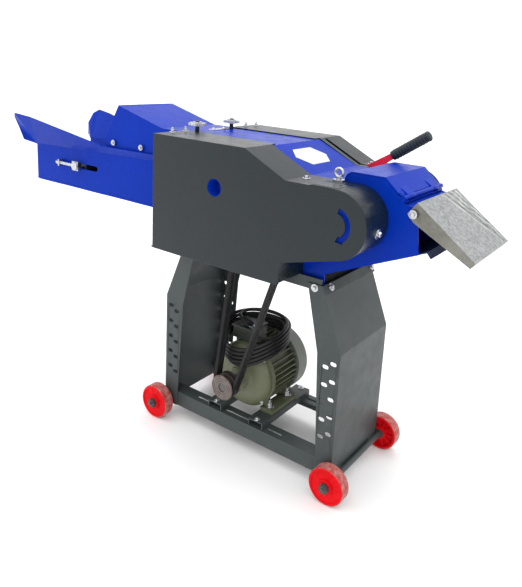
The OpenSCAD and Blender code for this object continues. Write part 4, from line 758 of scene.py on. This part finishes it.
# Folded hems under the trough and the guards: a flat fold pressed on to the sheet's edge.
# P(x, a) = (x, y + wide sgn(cos a)|cos a|^0.4, z + high f(x) sgn(sin a)|sin a|^0.6), f(x) drawing the ends in
troughHem = dict(x=(-951, -262), y=112.2, z=646.8, wide=2.2, high=3.2, wave=0.25)
guardHem = dict(x=(-267, 165), y=221.6, z=572.6, wide=3.2, high=3.6, wave=0.3)
hemGrid = dict(rows=70, cols=20, waveLength=37.0, draw=5, endShare=0.35)


def foldedHem(c, side):
    x = np.linspace(*c["x"], hemGrid["rows"])[:, None]
    a = angles(hemGrid["cols"])
    ends = np.minimum(1, np.minimum(x - x[0], x[-1] - x) / hemGrid["draw"] + hemGrid["endShare"])
    high = ends * c["high"] + c["wave"] * np.sin(x / hemGrid["waveLength"])
    y = side * c["y"] + c["wide"] * np.sign(np.cos(a)) * np.abs(np.cos(a)) ** 0.4
    z = c["z"] + high * np.sign(np.sin(a)) * np.abs(np.sin(a)) ** 0.6
    return at(x, y, z).reshape(-1, 3), gridFaces(len(x), len(a))


for name, hem, paint, slot in (("troughHems", troughHem, bluePaint, "blue_paint"),
                               ("guardHems", guardHem, slatePaint, "slate_paint")):
    meshPiece(name, *joinGrids([foldedHem(hem, t) for t in bothSides]), paint, "base", slot)

# Hood hinge: a leaf from the hood's slope over the barrel, cheeks beside the block, and an apron below it
hinge = dict(x=415.5, z=809.5, slope=41.1)
leaf = dict(s=(6.8, 17.5), half=112.0, proud=0.1, swell=0.6)
cheek = dict(x=(-13.8, -6.0), y=112.6, low=-12.5, under=4.8, fall=0.6)
apron = dict(x=(418.5, 450.5), z=(796.0, 792.2), half=108.5, crown=0.8)


def leafSurface(u, v):
    # Strip down the slope, standing off it by proud + swell (1 - rim^10)
    tilt = math.radians(hinge["slope"])
    s = between(leaf["s"], u)
    n = leaf["proud"] + leaf["swell"] * (1 - rim(u, v, 10))
    return (hinge["x"] - s * math.cos(tilt) + n * math.sin(tilt), v * leaf["half"],
            hinge["z"] + s * math.sin(tilt) + n * math.cos(tilt))


def cheekSurface(side):
    # Upright plate up to the slope, its y falling by fall rim^8 to the edge
    def place(u, v):
        back = between(cheek["x"], u)
        top = hinge["z"] - back * math.tan(math.radians(hinge["slope"])) - cheek["under"]
        return (hinge["x"] + back, side * (cheek["y"] - cheek["fall"] * rim(u, v, 8)),
                between((hinge["z"] + cheek["low"], top), v))
    return place


def apronSurface(u, v):
    # Slightly crowned sheet, z + crown (1 - v^2)
    return between(apron["x"], u), v * apron["half"], between(apron["z"], u) + apron["crown"] * (1 - v * v)


meshPiece("hingeLeaf", *sheetGrid(leafSurface, 13, 25, (-0.8, 0, -0.9)), bluePaint, "hood", "blue_paint")
meshPiece("hingeCheeks", *joinGrids([sheetGrid(cheekSurface(t), 9, 17, (0, -t * 2.4, 0)) for t in bothSides]),
          bluePaint, "base", "blue_paint")
meshPiece("hingeApron", *sheetGrid(apronSurface, 9, 17, (0, 0, -1.0)), bluePaint, "base", "blue_paint")

# Skin of the deflector: a diagonal crease, n = rise exp(-((v - c(u)) / w)^2), and long dents beyond it,
# dent (1 - exp(-ease (v - c))) (1 + sin(waves (v - c) + wander)) / 2, where wander is a sum of sines,
# each with its size, its rate along the sheet and its rate across
# The last two entries scale the painted shade and highlight on the skin's flanks, darker beyond the crease
skin = dict(fall=36.8, s=(-9, 160), n=24.6, half=118, lift=0.3, crease=(0.2, 0.8), width=0.035, rise=1.8,
            dent=2.6, ease=9, waves=31, wander=((1.1, 0.05, 0), (0.8, 0.13, 9), (0.5, 0.31, -17)),
            grid=(61, 121), thick=(-0.24, 0, -0.32), steep=0.8824, shadeBeyondCrease=0.15)


def pastCrease(u, v):
    return v - between(skin["crease"], u)


def skinHeight(u, v):
    c = skin
    s = between(c["s"], u)
    past = np.maximum(pastCrease(u, v), 0)
    wander = sum(size * np.sin(s * along + across * past) for size, along, across in c["wander"])
    crease = c["rise"] * np.exp(-(pastCrease(u, v) / c["width"]) ** 2)
    dents = c["dent"] * (1 - np.exp(-c["ease"] * past)) * (1 + np.sin(c["waves"] * past + wander)) / 2
    return c["lift"] + crease + dents


def skinSurface(u, v):
    c = skin
    fall = math.radians(c["fall"])
    s = between(c["s"], u)
    out = c["n"] + skinHeight(u, v) * (1 - rim(u, v, 30))
    return (deflectorAxis["x"] + s * math.cos(fall) + out * math.sin(fall), v * c["half"],
            deflectorAxis["z"] - s * math.sin(fall) + out * math.cos(fall))


deflectorSkin = meshPiece("deflectorSkin", *sheetGrid(skinSurface, *skin["grid"], skin["thick"]),
                          creasedSheet, "deflector", "galvanised")
# How steeply the skin rises across, less a share beyond the crease that is painted darker, kept for the
# painted shade and painted highlight on its flanks
u, v = np.meshgrid(*(np.linspace(-1, 1, n) for n in skin["grid"]), indexing="ij")
steepness = np.gradient(skinHeight(u, v), axis=1) * skin["steep"]
fold = np.clip(0.5 + steepness - skin["shadeBeyondCrease"] * (pastCrease(u, v) > 0), 0, 1).ravel()
deflectorSkin.data.attributes.new("fold", "FLOAT", "POINT").data.foreach_set("value", np.tile(fold, 2))

# Hub nuts and wheel faces: y = face - back + share rib cos(5 a)^40, in rings from the hub to the rim
hubNut = dict(half=4.2, y=180)
boltGroup("hubNuts", "base",
          [("bolt", hubNut["half"], (sx * wheelAxis["x"], sy * hubNut["y"], wheelAxis["z"]), (0, sy, 0))
           for name, sx, sy in wheels], darkSteel)
web = dict(face=165.6, rib=1.5, ribs=10, cols=160,
           rings=((19.6, 3, 0), (19.6, 0, 0), (21.5, 0, 0.2), (24, 0, 1), (30, 0, 1), (36, 0, 1),
                  (40.5, 0, 1), (42, -1, 0.3), (43.1, -1.6, 0), (43.1, 3, 0)))


def wheelWeb(sx, sy):
    a = angles(web["cols"])
    r, back, share = (column[:, None] for column in np.array(web["rings"]).T)
    y = web["face"] - back + share * web["rib"] * np.cos(web["ribs"] / 2 * a) ** 40
    v = at(sx * wheelAxis["x"] + r * np.cos(a), sy * y, wheelAxis["z"] + r * np.sin(a))
    return v.reshape(-1, 3), gridFaces(len(r), len(a))


for name, sx, sy in wheels:
    meshPiece(name + "Web", *wheelWeb(sx, sy), wheelPaints[name], name, "red_plastic")

# Blank white plate on the slope: rings of a long hexagon, each drawn in by inset and lifted off the slope
plate = dict(middle=(107, -17), half=(67, 35), nose=24, skew=4, slope=((49, 883), (171, 826)),
             rings=((0, 0.02), (0, 0.42), (0.8, 0.7), (4, 0.7)))


def slopePlate(c):
    (x0, z0), (x1, z1) = c["slope"]
    down = np.array([x1 - x0, 0, z1 - z0], float)
    down /= np.linalg.norm(down)
    out = np.array([-down[2], 0, down[0]])
    x, y = c["middle"]
    middle = np.array([x, y, z0 + (x - x0) * (z1 - z0) / (x1 - x0)])
    l, w = c["half"]
    nose, skew = c["nose"], c["skew"]
    corners = np.array([(-l, skew), (-l + nose, w), (l - nose - skew, w), (l, -skew), (l - nose, -w),
                        (-l + nose + skew, -w)], float)
    inset, lift = (column[:, None, None] for column in np.array(c["rings"]).T)
    across = (1 - inset / l) * corners[:, :1]
    along = (1 - inset / w) * corners[:, 1:]
    v = middle + across * np.array(far) - along * down + lift * out
    return at(*v.reshape(-1, 3).T), gridFaces(len(c["rings"]), len(corners))


meshPiece("blankPlate", *slopePlate(plate), stickerWhite, "base", "zinc", smooth=False)
print("details made")

# Floor, light and background
scene.view_settings.view_transform = "Standard"
stage = dict(size=40.0, points=25, world=2.4,
             sky=((0.0, 0.44), (1.0, 0.35), (0.13, 0.44), (0.27, 0.52), (0.6, 0.46)))
x, y = np.meshgrid(*[np.linspace(-stage["size"], stage["size"], stage["points"])] * 2)
floorMesh = bpy.data.meshes.new("floor")
floorMesh.from_pydata(np.stack([x, y, 0 * x], -1).reshape(-1, 3).tolist(), [],
                      quadsOf(np.arange(x.size).reshape(x.shape)).tolist())
floor = bpy.data.objects.new("floor", floorMesh)
scene.collection.objects.link(floor)
floor.data.materials.append(floorWhite)

# White round the horizon, a little brighter where the tops mirror it, and dimmer overhead
world = bpy.data.worlds.new("studio")
scene.world = world
world.use_nodes = True
worldNodes, worldLinks = world.node_tree.nodes, world.node_tree.links
sky = worldNodes["Background"]
sky.inputs["Strength"].default_value = stage["world"]
skyParts = worldNodes.new("ShaderNodeSeparateXYZ")
worldLinks.new(worldNodes.new("ShaderNodeTexCoord").outputs["Generated"], skyParts.inputs[0])
ramp = worldNodes.new("ShaderNodeValToRGB")
worldLinks.new(skyParts.outputs["Z"], ramp.inputs["Fac"])
stops = ramp.color_ramp.elements
added = [stops.new(0.5) for k in stage["sky"][2:]]
for stop, (place, level) in zip([stops[0], stops[1]] + added, stage["sky"]):
    stop.position = place
    stop.color = (level, level, level, 1)
worldLinks.new(ramp.outputs["Color"], sky.inputs["Color"])

lights = [dict(name="keyLight", place=(1.6, -2.6, 2.6), aim=(0.1, 0, 0.6), size=1.8, power=11),
          dict(name="topLight", place=(-0.3, 0.4, 3.6), aim=(0.0, 0, 0.6), size=2.6, power=20),
          dict(name="fillLight", place=(-2.8, -1.8, 1.8), aim=(0, 0, 0.5), size=2.2, power=10)]
for spec in lights:
    lamp = bpy.data.lights.new(spec["name"], "AREA")
    lamp.size = spec["size"]
    lamp.energy = spec["power"]
    obj = bpy.data.objects.new(spec["name"], lamp)
    obj.location = spec["place"]
    aim = Vector(spec["aim"]) - Vector(spec["place"])
    obj.rotation_euler = aim.to_track_quat("-Z", "Y").to_euler()
    scene.collection.objects.link(obj)
print("stage set")
